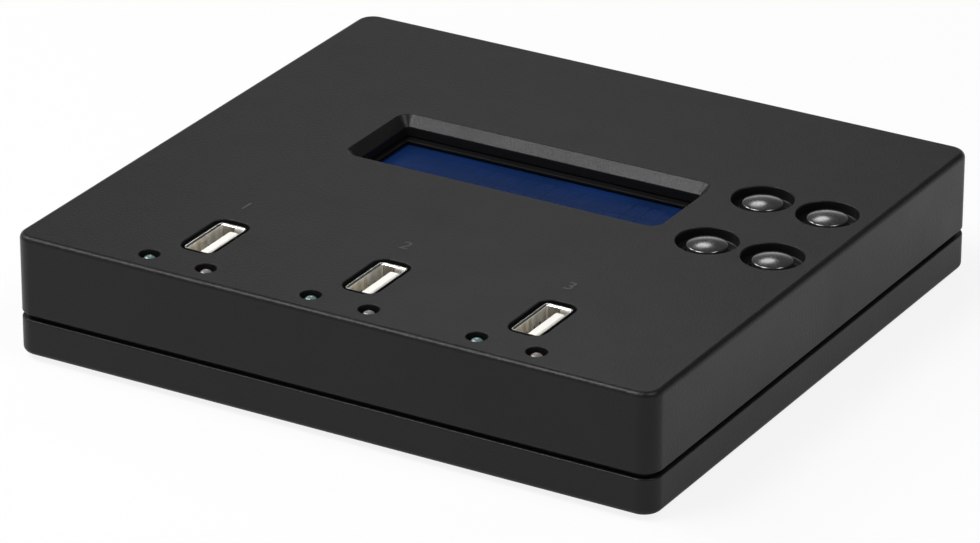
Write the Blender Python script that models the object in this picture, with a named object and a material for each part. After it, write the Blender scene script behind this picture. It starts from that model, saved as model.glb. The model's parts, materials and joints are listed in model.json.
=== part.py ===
"""A flash drive duplicator: a flat two-part moulded case with a recessed character display,
four round push keys, three upright USB sockets with two lamps each, and a power inlet and
rocker switch in its back wall.

X runs along the front edge, Y from front to back and Z up. The origin is on the surface that
the feet stand on, under the middle of the case. All lengths are metres.
"""

import math

import bpy
from mathutils import Matrix

MM = 0.001

# Gaps between pieces
SEAT_GAP = 0.3 * MM
OVERRUN = 2.0 * MM
EMBED = 0.4 * MM

# Layout of the top face, from left to right
LEFT_MARGIN = 29.4 * MM
LCD_BOARD_WIDTH = 80.0 * MM
BUTTON_GAP = 6.5 * MM
BUTTON_PITCH_X = 14.1 * MM
RIGHT_MARGIN = 10.0 * MM

# Layout of the top face, from front to back
FRONT_MARGIN = 5.8 * MM
LED_TO_PORT = 13.2 * MM
PORT_TO_DISPLAY = 57.9 * MM
BACK_MARGIN = 53.1 * MM

# Ports, lamps and keys in their rows
PORT_COUNT = 3
PORT_PITCH = 36.0 * MM
LED_SPREAD = 12.7 * MM
BUTTON_PITCH_Y = 22.6 * MM
BUTTON_DROP = 0.8 * MM

# Shells
WALL = 2.4 * MM
ROOF = 2.4 * MM
FLOOR = 2.4 * MM
CORNER_RADIUS = 3.8 * MM
EDGE_FILLET = 1.2 * MM
BASE_HEIGHT = 8.6 * MM
GROOVE_HEIGHT = 1.0 * MM
GROOVE_DEPTH = 1.3 * MM
GROOVE_CHAMFER = 0.35 * MM
TONGUE_RISE = 2.0 * MM
CORNER_STEPS = 6
FILLET_STEPS = 3

# Feet
FOOT_PROUD = 1.0 * MM
FOOT_POCKET = 1.0 * MM
FOOT_RADIUS = 6.0 * MM
FOOT_EDGE = 0.4 * MM
FOOT_INSET = 16.0 * MM

# Stack from the floor to the roof
BOARD_LIFT = 6.6 * MM
BOARD = 1.6 * MM
HEADER_HEIGHT = 2.2 * MM
PORT_RECESS = 0.4 * MM

# Screws: head radius, head height, shank radius, and the boss that each goes into
CASE_SCREW_HEAD = 2.8 * MM
CASE_SCREW_HEAD_HEIGHT = 2.0 * MM
CASE_SCREW_SHANK = 1.3 * MM
CASE_SCREW_LENGTH = 12.0 * MM
TOWER_RADIUS = 4.2 * MM
TOWER_INSET = 5.6 * MM
TOWER_SEAT = 2.2 * MM
COVER_POST_RADIUS = 3.4 * MM
BOARD_SCREW_HEAD = 2.3 * MM
BOARD_SCREW_HEAD_HEIGHT = 1.6 * MM
BOARD_SCREW_SHANK = 1.1 * MM
BOARD_SCREW_LENGTH = 5.0 * MM
STANDOFF_RADIUS = 2.9 * MM
STANDOFF_INSET_X = 8.6 * MM
STANDOFF_INSET_Y = 20.6 * MM
PANEL_SCREW_HEAD = 1.9 * MM
PANEL_SCREW_HEAD_HEIGHT = 1.3 * MM
PANEL_SCREW_SHANK = 0.9 * MM
PANEL_SCREW_LENGTH = 4.6 * MM
PANEL_BOSS_RADIUS = 2.3 * MM
PILOT_SPARE = 1.0 * MM
SCREW_CROWN_SHARE = 0.45

# Circuit boards
BOARD_EDGE_GAP = 1.0 * MM
BOARD_TOWER_GAP = 0.8 * MM
BOARD_CORNER = 0.9 * MM

# Display module
LCD_BOARD_DEPTH = 36.0 * MM
LCD_HOLE_INSET = 2.5 * MM
LCD_FRAME_SIDE = 4.4 * MM
LCD_FRAME_END = 5.9 * MM
LCD_FRAME_HEIGHT = 5.5 * MM
LCD_FRAME_SHEET = 0.6 * MM
LCD_VIEW_SIDE = 3.3 * MM
LCD_VIEW_END = 4.0 * MM
LCD_GLASS_HEIGHT = 2.0 * MM
LCD_DROP = 4.2 * MM
LCD_BLOB_RADIUS = 5.0 * MM
LCD_BLOB_HEIGHT = 1.1 * MM
LCD_BLOB_SPREAD = 26.0 * MM
WINDOW_MARGIN_X = 1.2 * MM
WINDOW_MARGIN_Y = 1.7 * MM
WINDOW_CHAMFER = 2.0 * MM
WINDOW_CORNER = 0.9 * MM
WINDOW_RIM = 1.2 * MM

# Pin headers
PIN_PITCH = 2.54 * MM
PIN_SIDE = 0.62 * MM
PIN_STAND = 1.2 * MM
HEADER_WIDTH = 2.5 * MM
LCD_PIN_COUNT = 16
LCD_PIN_INSET = 8.0 * MM
LCD_HEADER_INSET = 2.5 * MM
KEY_PIN_COUNT = 6
KEY_HEADER_INSET = 2.2 * MM

# Keys
WELL_RADIUS = 6.2 * MM
WELL_DEPTH = 2.4 * MM
WELL_FLOOR = 1.2 * MM
WELL_WALL = 1.2 * MM
CAP_RADIUS = 4.1 * MM
CAP_RIM_DROP = 0.7 * MM
CAP_DOME = 0.65 * MM
CAP_FLANGE = 0.9 * MM
CAP_FLANGE_HEIGHT = 0.8 * MM
CAP_WALL = 0.9 * MM
CAP_TOP_WALL = 1.6 * MM
CAP_POST_RADIUS = 1.5 * MM
CAP_EDGE = 0.3 * MM
CAP_DOME_SHARES = (0.68, 0.34, 0.0)
KEY_TRAVEL = 0.5 * MM
TACT_SIDE = 6.0 * MM
TACT_HEIGHT = 3.3 * MM
TACT_FLOOR = 0.5 * MM
TACT_CHAMFER = 0.5 * MM
PLUNGER_RADIUS = 1.75 * MM
PLUNGER_RISE = 1.4 * MM
BUTTON_BOARD_GAP = 1.6 * MM
BUTTON_BOARD_SIDE = 1.2 * MM
BUTTON_BOARD_MARGIN = 7.6 * MM

# Lamps
LED_RADIUS = 1.5 * MM
LED_FLANGE = 1.9 * MM
LED_FLANGE_HEIGHT = 1.0 * MM
LED_HEIGHT = 5.3 * MM
LED_DROP = 0.35 * MM
LED_HOLE = 2.1 * MM
LED_LEAD = 0.5 * MM
LEAD_STAND = 1.2 * MM
LED_DOME_SHARES = (0.0, 0.4, 0.75, 1.0)

# Upright USB sockets
SHELL_LENGTH = 13.14 * MM
SHELL_WIDTH = 5.74 * MM
SHELL_SHEET = 0.32 * MM
SHELL_CORNER = 0.6 * MM
SHELL_FLARE = 0.35 * MM
SHELL_LEG = 1.6 * MM
SHELL_LEG_STAND = 1.4 * MM
SHELL_LEG_SPREAD = 7.0 * MM
SPRING_LENGTH = 5.0 * MM
SPRING_WIDTH = 1.7 * MM
SPRING_SLOT = 0.45 * MM
SPRING_SPREAD = 5.0 * MM
SPRING_DROP = 2.6 * MM
TONGUE_LENGTH = 11.1 * MM
TONGUE_WIDTH = 1.84 * MM
TONGUE_DROP = 0.8 * MM
TONGUE_SIDE_GAP = 0.75 * MM
TONGUE_CHAMFER = 0.3 * MM
SOCKET_BLOCK = 3.6 * MM
CONTACT_COUNT = 4
CONTACT_WIDTH = 1.0 * MM
CONTACT_PROUD = 0.22 * MM
CONTACT_DROP = 1.0 * MM
CONTACT_PITCH = 2.25 * MM
SLOT_LENGTH = 15.8 * MM
SLOT_WIDTH = 8.0 * MM
SLOT_CORNER = 2.8 * MM
SLOT_STEPS = 5

# Power inlet
JACK_MARGIN = 25.0 * MM
JACK_WIDTH = 9.0 * MM
JACK_HEIGHT = 10.8 * MM
JACK_LENGTH = 12.6 * MM
JACK_AXIS = 5.6 * MM
JACK_NOSE = 4.0 * MM
JACK_NOSE_RECESS = 0.5 * MM
JACK_BORE = 3.15 * MM
JACK_BACK = 3.4 * MM
JACK_PIN = 1.0 * MM
JACK_PIN_RECESS = 1.6 * MM
JACK_TAB_WIDTH = 2.4 * MM
JACK_TAB_SHEET = 0.8 * MM

# Power rocker
ROCKER_TO_JACK = 23.0 * MM
ROCKER_HALF = 5.6 * MM
ROCKER_HEIGHT = 7.4 * MM
ROCKER_VALLEY = 3.1 * MM
ROCKER_TIP = 4.2 * MM
ROCKER_ROOT = 1.4 * MM
ROCKER_TILT = math.radians(10.0)
ROCKER_AXIS_DEPTH = 5.4 * MM
ROCKER_STUB = 1.0 * MM
ROCKER_STUB_LENGTH = 0.9 * MM
ROCKER_EDGE = 0.3 * MM
SWITCH_SIDE_GAP = 0.4 * MM
SWITCH_WALL = 1.3 * MM
SWITCH_LENGTH = 10.0 * MM
SWITCH_BACK = 3.0 * MM
ROCKER_SWEEP = 6.6 * MM

# Parts on the main board
CHIP_SIDE = 14.0 * MM
CHIP_HEIGHT = 1.4 * MM
CHIP_LEADS = 8
CHIP_LEAD_REACH = 1.0 * MM
CHIP_LEAD_SHEET = 0.35 * MM
CHIP_LEAD_SHARE = 0.45
CHIP_LEFT = 5.4 * MM
CHIP_AHEAD = 31.9 * MM
CRYSTAL_LENGTH = 11.0 * MM
CRYSTAL_WIDTH = 4.6 * MM
CRYSTAL_HEIGHT = 3.5 * MM
CRYSTAL_END_SHARE = 0.48
CRYSTAL_TO_CHIP = 20.0 * MM
CAPACITOR_RADIUS = 4.0 * MM
CAPACITOR_HEIGHT = 9.0 * MM
CAPACITOR_NECK = 0.35 * MM
CAPACITOR_TO_ROCKER = 30.0 * MM
CAPACITOR_AHEAD = 16.6 * MM

# Facets
ROUND_STEPS = 24
KEY_STEPS = 20
SMALL_STEPS = 12
HOLE_STEPS = 8
INNER_STEPS = 3
SHEET_STEPS = 2

# Levels and places that follow from the sizes above
CASE_WIDTH = LEFT_MARGIN + LCD_BOARD_WIDTH + BUTTON_GAP + BUTTON_PITCH_X + RIGHT_MARGIN
CASE_DEPTH = FRONT_MARGIN + LED_TO_PORT + PORT_TO_DISPLAY + BACK_MARGIN
CASE_BOTTOM = FOOT_PROUD
FLOOR_TOP = CASE_BOTTOM + FLOOR
BOARD_BOTTOM = FLOOR_TOP + BOARD_LIFT
BOARD_TOP = BOARD_BOTTOM + BOARD
LCD_BOARD_BOTTOM = BOARD_TOP + HEADER_HEIGHT + 2 * SEAT_GAP
LCD_BOARD_TOP = LCD_BOARD_BOTTOM + BOARD
LCD_FRAME_TOP = LCD_BOARD_TOP + SEAT_GAP + LCD_FRAME_HEIGHT
CASE_TOP = LCD_FRAME_TOP + LCD_DROP
PORT_TOP = CASE_TOP - PORT_RECESS
CEILING = CASE_TOP - ROOF
BASE_TOP = CASE_BOTTOM + BASE_HEIGHT
COVER_BOTTOM = BASE_TOP + GROOVE_HEIGHT
TONGUE_TOP = COVER_BOTTOM + TONGUE_RISE
INNER_WIDTH = CASE_WIDTH - 2 * WALL
INNER_DEPTH = CASE_DEPTH - 2 * WALL
INNER_CORNER = CORNER_RADIUS - WALL
GROOVE_WIDTH = CASE_WIDTH - 2 * GROOVE_DEPTH
GROOVE_BACK = CASE_DEPTH - 2 * GROOVE_DEPTH
GROOVE_CORNER = CORNER_RADIUS - GROOVE_DEPTH
RIGHT_EDGE = CASE_WIDTH / 2
FRONT_EDGE = -CASE_DEPTH / 2
BACK_EDGE = CASE_DEPTH / 2
BACK_WALL = BACK_EDGE - WALL
LED_Y = FRONT_EDGE + FRONT_MARGIN
PORT_Y = LED_Y + LED_TO_PORT
DISPLAY_X = -RIGHT_EDGE + LEFT_MARGIN + LCD_BOARD_WIDTH / 2
DISPLAY_Y = PORT_Y + PORT_TO_DISPLAY
BUTTON_XS = (RIGHT_EDGE - RIGHT_MARGIN - BUTTON_PITCH_X, RIGHT_EDGE - RIGHT_MARGIN)
BUTTON_MID_Y = DISPLAY_Y - BUTTON_DROP
BUTTON_YS = (BUTTON_MID_Y - BUTTON_PITCH_Y / 2, BUTTON_MID_Y + BUTTON_PITCH_Y / 2)
PORT_XS = [(i - (PORT_COUNT - 1) / 2) * PORT_PITCH for i in range(PORT_COUNT)]
GLASS_TOP = LCD_FRAME_TOP - LCD_FRAME_SHEET - SEAT_GAP
GLASS_BOTTOM = GLASS_TOP - LCD_GLASS_HEIGHT
LCD_HOLE_X = LCD_BOARD_WIDTH - 2 * LCD_HOLE_INSET
LCD_HOLE_Y = LCD_BOARD_DEPTH - 2 * LCD_HOLE_INSET
LCD_FRAME_WIDTH = LCD_BOARD_WIDTH - 2 * LCD_FRAME_SIDE
LCD_FRAME_DEPTH = LCD_BOARD_DEPTH - 2 * LCD_FRAME_END
LCD_VIEW_WIDTH = LCD_FRAME_WIDTH - 2 * LCD_VIEW_SIDE
LCD_VIEW_DEPTH = LCD_FRAME_DEPTH - 2 * LCD_VIEW_END
WINDOW_WIDTH = LCD_VIEW_WIDTH + 2 * WINDOW_MARGIN_X
WINDOW_DEPTH = LCD_VIEW_DEPTH + 2 * WINDOW_MARGIN_Y
WELL_BOTTOM = CASE_TOP - WELL_DEPTH
CUP_BOTTOM = WELL_BOTTOM - WELL_FLOOR
CAP_HOLE = CAP_RADIUS + SEAT_GAP
CAP_FLANGE_TOP = CUP_BOTTOM - SEAT_GAP
CAP_BOTTOM = CAP_FLANGE_TOP - CAP_FLANGE_HEIGHT
CAP_RIM = CASE_TOP - CAP_RIM_DROP
PLUNGER_TOP = CAP_BOTTOM - SEAT_GAP
TACT_TOP = PLUNGER_TOP - PLUNGER_RISE
TACT_BOTTOM = TACT_TOP - TACT_HEIGHT
KEY_BOARD_TOP = TACT_BOTTOM - SEAT_GAP
KEY_BOARD_BOTTOM = KEY_BOARD_TOP - BOARD
KEY_BOARD_LEFT = DISPLAY_X + LCD_BOARD_WIDTH / 2 + BUTTON_BOARD_GAP
KEY_BOARD_RIGHT = RIGHT_EDGE - WALL - BUTTON_BOARD_SIDE
KEY_BOARD_FRONT = BUTTON_YS[0] - BUTTON_BOARD_MARGIN
KEY_BOARD_BACK = BUTTON_YS[1] + BUTTON_BOARD_MARGIN
TOWER_X = INNER_WIDTH / 2 - TOWER_INSET
TOWER_Y = INNER_DEPTH / 2 - TOWER_INSET
TOWER_TOP = BASE_TOP - SEAT_GAP
SCREW_SEAT = CASE_BOTTOM + CASE_SCREW_HEAD_HEIGHT + TOWER_SEAT
STANDOFF_X = INNER_WIDTH / 2 - STANDOFF_INSET_X
STANDOFF_Y = INNER_DEPTH / 2 - STANDOFF_INSET_Y
FOOT_X = CASE_WIDTH / 2 - FOOT_INSET
FOOT_Y = CASE_DEPTH / 2 - FOOT_INSET
JACK_X = JACK_MARGIN - CASE_WIDTH / 2
JACK_BOTTOM = BOARD_TOP + SEAT_GAP
JACK_Z = JACK_BOTTOM + JACK_AXIS
JACK_FRONT = BACK_WALL - SEAT_GAP
ROCKER_X = JACK_X + ROCKER_TO_JACK
ROCKER_AXIS_Y = BACK_EDGE - ROCKER_AXIS_DEPTH
SWITCH_HALF_Z = ROCKER_HEIGHT / 2 + SWITCH_SIDE_GAP + SWITCH_WALL
SWITCH_Z = BOARD_TOP + SEAT_GAP + SWITCH_HALF_Z
CHIP_X = DISPLAY_X - CHIP_LEFT
CHIP_Y = DISPLAY_Y - CHIP_AHEAD
CAPACITOR_X = ROCKER_X + CAPACITOR_TO_ROCKER
CAPACITOR_Y = BACK_WALL - CAPACITOR_AHEAD

CORNERS = [("front_left", -1, -1), ("front_right", 1, -1), ("back_right", 1, 1), ("back_left", -1, 1)]


def clear_scene():
    for old in list(bpy.data.objects):
        bpy.data.objects.remove(old)


def material(name, colour, roughness, metallic=0.0):
    made = bpy.data.materials.new(name)
    made.use_nodes = True
    shader = made.node_tree.nodes["Principled BSDF"]
    shader.inputs["Base Color"].default_value = (*colour, 1.0)
    shader.inputs["Roughness"].default_value = roughness
    shader.inputs["Metallic"].default_value = metallic
    return made


def add_object(name, mesh_points, faces, finish=None, place=(0.0, 0.0, 0.0)):
    """Makes a mesh object; place is its location, which its points are measured from."""
    mesh = bpy.data.meshes.new(name)
    mesh.from_pydata([tuple(p) for p in mesh_points], [], faces)
    mesh.update()
    made = bpy.data.objects.new(name, mesh)
    made.location = place
    bpy.context.scene.collection.objects.link(made)
    if finish is not None:
        mesh.materials.append(finish)
    return made


def as_helper(made):
    made.hide_render = True
    made.display_type = "WIRE"
    return made


def boolean(target, helper, operation):
    step = target.modifiers.new(helper.name, "BOOLEAN")
    step.operation = operation
    step.solver = "EXACT"
    step.object = as_helper(helper)
    return target


def cut(target, helper):
    return boolean(target, helper, "DIFFERENCE")


def fuse(target, helper):
    return boolean(target, helper, "UNION")


def smooth(made, angle=math.radians(30.0)):
    made.data.shade_smooth()
    made.data.set_sharp_from_angle(angle=angle)
    return made


def rectangle(width, depth):
    x = width / 2
    y = depth / 2
    return [(-x, -y), (x, -y), (x, y), (-x, y)]


def circle(radius, steps):
    turn = math.tau / steps
    return [(radius * math.cos(i * turn), radius * math.sin(i * turn)) for i in range(steps)]


def rounded_rectangle(width, depth, radius, steps=CORNER_STEPS):
    """A rectangle with round corners, anticlockwise from the right end of its front side."""
    points = []
    for quarter, (sx, sy) in enumerate([(1, -1), (1, 1), (-1, 1), (-1, -1)]):
        centre_x = sx * (width / 2 - radius)
        centre_y = sy * (depth / 2 - radius)
        for i in range(steps + 1):
            angle = math.radians(90.0) * (quarter - 1 + i / steps)
            points.append((centre_x + radius * math.cos(angle), centre_y + radius * math.sin(angle)))
    return points


def moved(outline, x, y):
    return [(px + x, py + y) for px, py in outline]


def loft(name, levels, finish=None, place=(0.0, 0.0, 0.0)):
    """Joins outlines of equal count, given as (outline, z) from the bottom up, and closes both ends."""
    count = len(levels[0][0])
    points = [(x, y, z) for outline, z in levels for x, y in outline]
    faces = [list(range(count))[::-1]]
    for level in range(len(levels) - 1):
        low = level * count
        for i in range(count):
            j = (i + 1) % count
            faces.append([low + i, low + j, low + count + j, low + count + i])
    top = (len(levels) - 1) * count
    faces.append([top + i for i in range(count)])
    return add_object(name, points, faces, finish, place)


def prism(name, outline, bottom, top, finish=None, place=(0.0, 0.0, 0.0)):
    return loft(name, [(outline, bottom), (outline, top)], finish, place)


def lathe(name, profile, finish=None, place=(0.0, 0.0, 0.0), steps=ROUND_STEPS):
    """Turns a profile of (radius, z) about Z. It starts and ends on the axis, bottom first."""
    rings = profile[1:-1]
    turn = math.tau / steps
    points = [(0.0, 0.0, profile[0][1])]
    for radius, z in rings:
        points += [(radius * math.cos(i * turn), radius * math.sin(i * turn), z) for i in range(steps)]
    points.append((0.0, 0.0, profile[-1][1]))
    last = len(points) - 1
    faces = []
    for i in range(steps):
        j = (i + 1) % steps
        faces.append([0, 1 + j, 1 + i])
        for ring in range(len(rings) - 1):
            low = 1 + ring * steps
            faces.append([low + i, low + j, low + steps + j, low + steps + i])
        top = 1 + (len(rings) - 1) * steps
        faces.append([top + i, top + j, last])
    return add_object(name, points, faces, finish, place)


def joined(name, pieces):
    """One helper mesh from several separate closed solids, each a (outline, bottom, top)."""
    points = []
    faces = []
    for outline, bottom, top in pieces:
        start = len(points)
        count = len(outline)
        points += [(x, y, bottom) for x, y in outline]
        points += [(x, y, top) for x, y in outline]
        faces.append([start + i for i in range(count)][::-1])
        faces.append([start + count + i for i in range(count)])
        for i in range(count):
            j = (i + 1) % count
            faces.append([start + i, start + j, start + count + j, start + count + i])
    return add_object(name, points, faces)


def turn_to_back(made, x, y, z):
    """Turns a solid built up +Z so that it points out of the back wall, along +Y."""
    made.matrix_world = Matrix.Translation((x, y, z)) @ Matrix.Rotation(math.radians(-90.0), 4, "X")
    return made


def fillet_insets(radius, steps):
    """(inset, rise) pairs round a quarter fillet, from its upright side to its flat side."""
    angles = [math.radians(90.0) * i / steps for i in range(steps + 1)]
    return [(radius * (1 - math.cos(a)), radius * math.sin(a)) for a in angles]


def shell_outline(inset):
    return rounded_rectangle(CASE_WIDTH - 2 * inset, CASE_DEPTH - 2 * inset, CORNER_RADIUS - inset)


def panel_boss_places():
    """Centres of the bosses under the roof that hold the display board and the key board."""
    places = [
        (DISPLAY_X + sx * LCD_HOLE_X / 2, DISPLAY_Y + sy * LCD_HOLE_Y / 2, LCD_BOARD_TOP)
        for _, sx, sy in CORNERS
    ]
    places += [(x, BUTTON_MID_Y, KEY_BOARD_TOP) for x in BUTTON_XS]
    return places


def key_places():
    return [(x, y) for y in reversed(BUTTON_YS) for x in BUTTON_XS]


def led_places():
    return [(x + side * LED_SPREAD / 2, LED_Y) for x in PORT_XS for side in (-1, 1)]


def build_cover(finish):
    """The top shell, with its display window, key wells, socket slots, lamp holes and bosses."""
    levels = [(shell_outline(GROOVE_CHAMFER), COVER_BOTTOM)]
    levels.append((shell_outline(0.0), COVER_BOTTOM + GROOVE_CHAMFER))
    for inset, rise in fillet_insets(EDGE_FILLET, FILLET_STEPS):
        levels.append((shell_outline(inset), CASE_TOP - EDGE_FILLET + rise))
    cover = loft("top_cover", levels, finish)
    cavity = rounded_rectangle(INNER_WIDTH, INNER_DEPTH, INNER_CORNER, INNER_STEPS)
    cut(cover, prism("cover_cavity", cavity, COVER_BOTTOM - OVERRUN, CEILING))
    rebate = rounded_rectangle(
        GROOVE_WIDTH + 2 * SEAT_GAP, GROOVE_BACK + 2 * SEAT_GAP, GROOVE_CORNER + SEAT_GAP, INNER_STEPS
    )
    cut(cover, prism("cover_rebate", rebate, COVER_BOTTOM - OVERRUN, TONGUE_TOP + SEAT_GAP))

    window = rounded_rectangle(WINDOW_WIDTH, WINDOW_DEPTH, WINDOW_CORNER)
    rim = rounded_rectangle(
        WINDOW_WIDTH + 2 * WINDOW_RIM, WINDOW_DEPTH + 2 * WINDOW_RIM, WINDOW_CORNER + WINDOW_RIM
    )
    rim_bottom = LCD_FRAME_TOP + SEAT_GAP
    added_top = CEILING + EMBED
    added = [(moved(rim, DISPLAY_X, DISPLAY_Y), rim_bottom, added_top)]
    for x, y, seat in panel_boss_places():
        boss = circle(PANEL_BOSS_RADIUS, HOLE_STEPS)
        added.append((moved(boss, x, y), seat + SEAT_GAP, added_top))
    for _, sx, sy in CORNERS:
        post = circle(COVER_POST_RADIUS, SMALL_STEPS)
        added.append((moved(post, sx * TOWER_X, sy * TOWER_Y), BASE_TOP, added_top))
    fuse(cover, joined("cover_bosses", added))
    for index, (x, y) in enumerate(key_places(), 1):
        cup = circle(WELL_RADIUS + WELL_WALL, SMALL_STEPS)
        fuse(cover, prism(f"cover_cup_{index}", moved(cup, x, y), CUP_BOTTOM, added_top))

    wide = rounded_rectangle(
        WINDOW_WIDTH + 2 * WINDOW_CHAMFER + 2 * OVERRUN,
        WINDOW_DEPTH + 2 * WINDOW_CHAMFER + 2 * OVERRUN,
        WINDOW_CORNER + WINDOW_CHAMFER + OVERRUN,
    )
    chamfer_bottom = CASE_TOP - WINDOW_CHAMFER
    window_cut = [(window, rim_bottom - OVERRUN), (window, chamfer_bottom), (wide, CASE_TOP + OVERRUN)]
    cut(cover, loft("window_cut", window_cut, place=(DISPLAY_X, DISPLAY_Y, 0.0)))

    holes = []
    for x, y in key_places():
        holes.append((moved(circle(WELL_RADIUS, ROUND_STEPS), x, y), WELL_BOTTOM, CASE_TOP + OVERRUN))
    cut(cover, joined("key_wells", holes))
    holes = []
    for x, y in key_places():
        hole = circle(CAP_HOLE, ROUND_STEPS)
        holes.append((moved(hole, x, y), CUP_BOTTOM - OVERRUN, WELL_BOTTOM + EMBED))
    slot = rounded_rectangle(SLOT_WIDTH, SLOT_LENGTH, SLOT_CORNER, SLOT_STEPS)
    for x in PORT_XS:
        holes.append((moved(slot, x, PORT_Y), CEILING - OVERRUN, CASE_TOP + OVERRUN))
    for x, y in led_places():
        hole = circle(LED_HOLE, SMALL_STEPS)
        holes.append((moved(hole, x, y), CEILING - OVERRUN, CASE_TOP + OVERRUN))
    for x, y, seat in panel_boss_places():
        pilot = circle(PANEL_SCREW_SHANK + SEAT_GAP, HOLE_STEPS)
        holes.append((moved(pilot, x, y), seat - OVERRUN, seat + PANEL_SCREW_LENGTH))
    for _, sx, sy in CORNERS:
        pilot = circle(CASE_SCREW_SHANK + SEAT_GAP, SMALL_STEPS)
        top = SCREW_SEAT + CASE_SCREW_LENGTH + PILOT_SPARE
        holes.append((moved(pilot, sx * TOWER_X, sy * TOWER_Y), BASE_TOP - OVERRUN, top))
    cut(cover, joined("cover_holes", holes))

    jack_hole = prism("jack_hole", circle(JACK_NOSE + SEAT_GAP, ROUND_STEPS), -WALL - OVERRUN, OVERRUN)
    cut(cover, turn_to_back(jack_hole, JACK_X, BACK_EDGE, JACK_Z))
    opening = rectangle(2 * ROCKER_SWEEP, ROCKER_HEIGHT + 2 * SWITCH_SIDE_GAP)
    switch_hole = prism("switch_hole", opening, -WALL - OVERRUN, OVERRUN)
    cut(cover, turn_to_back(switch_hole, ROCKER_X, BACK_EDGE, SWITCH_Z))
    return smooth(cover)


def build_base(finish):
    """The tray, with the tongue that the cover fits over, screw towers, standoffs and foot pockets."""
    levels = []
    for inset, rise in reversed(fillet_insets(EDGE_FILLET, FILLET_STEPS)):
        levels.append((shell_outline(inset), CASE_BOTTOM + EDGE_FILLET - rise))
    levels.append((shell_outline(0.0), BASE_TOP - GROOVE_CHAMFER))
    levels.append((shell_outline(GROOVE_CHAMFER), BASE_TOP))
    base = loft("base_tray", levels, finish)
    tongue = rounded_rectangle(GROOVE_WIDTH, GROOVE_BACK, GROOVE_CORNER, INNER_STEPS)
    fuse(base, prism("base_tongue", tongue, BASE_TOP - EMBED, TONGUE_TOP))
    cavity = rounded_rectangle(INNER_WIDTH, INNER_DEPTH, INNER_CORNER, INNER_STEPS)
    cut(base, prism("base_cavity", cavity, FLOOR_TOP, TONGUE_TOP + OVERRUN))

    added = []
    for _, sx, sy in CORNERS:
        tower = circle(TOWER_RADIUS, SMALL_STEPS)
        added.append((moved(tower, sx * TOWER_X, sy * TOWER_Y), FLOOR_TOP - EMBED, TOWER_TOP))
        standoff = circle(STANDOFF_RADIUS, SMALL_STEPS)
        top = BOARD_BOTTOM - SEAT_GAP
        added.append((moved(standoff, sx * STANDOFF_X, sy * STANDOFF_Y), FLOOR_TOP - EMBED, top))
    fuse(base, joined("base_posts", added))

    holes = []
    for _, sx, sy in CORNERS:
        x, y = sx * TOWER_X, sy * TOWER_Y
        sink = circle(CASE_SCREW_HEAD + SEAT_GAP, SMALL_STEPS)
        holes.append((moved(sink, x, y), CASE_BOTTOM - OVERRUN, SCREW_SEAT))
        foot = moved(circle(FOOT_RADIUS + SEAT_GAP, ROUND_STEPS), sx * FOOT_X, sy * FOOT_Y)
        holes.append((foot, CASE_BOTTOM - OVERRUN, CASE_BOTTOM + FOOT_POCKET))
        pilot = circle(BOARD_SCREW_SHANK + SEAT_GAP, HOLE_STEPS)
        bottom = BOARD_TOP - BOARD_SCREW_LENGTH - PILOT_SPARE
        holes.append((moved(pilot, sx * STANDOFF_X, sy * STANDOFF_Y), bottom, BOARD_BOTTOM))
    cut(base, joined("base_sinks", holes))
    holes = []
    for _, sx, sy in CORNERS:
        hole = circle(CASE_SCREW_SHANK + SEAT_GAP, SMALL_STEPS)
        holes.append((moved(hole, sx * TOWER_X, sy * TOWER_Y), SCREW_SEAT - EMBED, TOWER_TOP + OVERRUN))
    cut(base, joined("base_holes", holes))
    return smooth(base)


def build_feet(finish):
    top = CASE_BOTTOM + FOOT_POCKET - SEAT_GAP
    rim = FOOT_RADIUS - FOOT_EDGE
    profile = [(0.0, 0.0), (rim, 0.0), (FOOT_RADIUS, FOOT_EDGE), (FOOT_RADIUS, top), (0.0, top)]
    for where, sx, sy in CORNERS:
        smooth(lathe(f"foot_{where}", profile, finish, (sx * FOOT_X, sy * FOOT_Y, 0.0)))


def screw(name, head, head_height, shank, length, finish, place, steps=HOLE_STEPS, flip=False):
    """A pan-head screw with its origin under the head and its shank along +Z, or -Z when flipped."""
    crown = head_height * SCREW_CROWN_SHARE
    profile = [
        (0.0, -head_height),
        (head - crown, -head_height),
        (head, -head_height + crown),
        (head, 0.0),
        (shank, 0.0),
        (shank, length - shank / 2),
        (shank / 2, length),
        (0.0, length),
    ]
    made = lathe(name, profile, finish, place, steps)
    if flip:
        made.rotation_euler = (math.pi, 0.0, 0.0)
    return smooth(made)


def build_screws(finish):
    for where, sx, sy in CORNERS:
        screw(
            f"case_screw_{where}", CASE_SCREW_HEAD, CASE_SCREW_HEAD_HEIGHT, CASE_SCREW_SHANK,
            CASE_SCREW_LENGTH, finish, (sx * TOWER_X, sy * TOWER_Y, SCREW_SEAT - SEAT_GAP), SMALL_STEPS,
        )
        screw(
            f"board_screw_{where}", BOARD_SCREW_HEAD, BOARD_SCREW_HEAD_HEIGHT, BOARD_SCREW_SHANK,
            BOARD_SCREW_LENGTH, finish, (sx * STANDOFF_X, sy * STANDOFF_Y, BOARD_TOP + SEAT_GAP),
            flip=True,
        )
    names = [f"display_screw_{where}" for where, _, _ in CORNERS]
    names += [f"key_board_screw_{i}" for i in range(1, len(BUTTON_XS) + 1)]
    for name, (x, y, seat) in zip(names, panel_boss_places()):
        screw(
            name, PANEL_SCREW_HEAD, PANEL_SCREW_HEAD_HEIGHT, PANEL_SCREW_SHANK,
            PANEL_SCREW_LENGTH, finish, (x, y, seat - BOARD - SEAT_GAP),
        )


def pin_row(count, first_x, y):
    return [(first_x + i * PIN_PITCH, y) for i in range(count)]


def lcd_pins():
    first = DISPLAY_X - LCD_BOARD_WIDTH / 2 + LCD_PIN_INSET
    return pin_row(LCD_PIN_COUNT, first, DISPLAY_Y + LCD_BOARD_DEPTH / 2 - LCD_HEADER_INSET)


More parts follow.
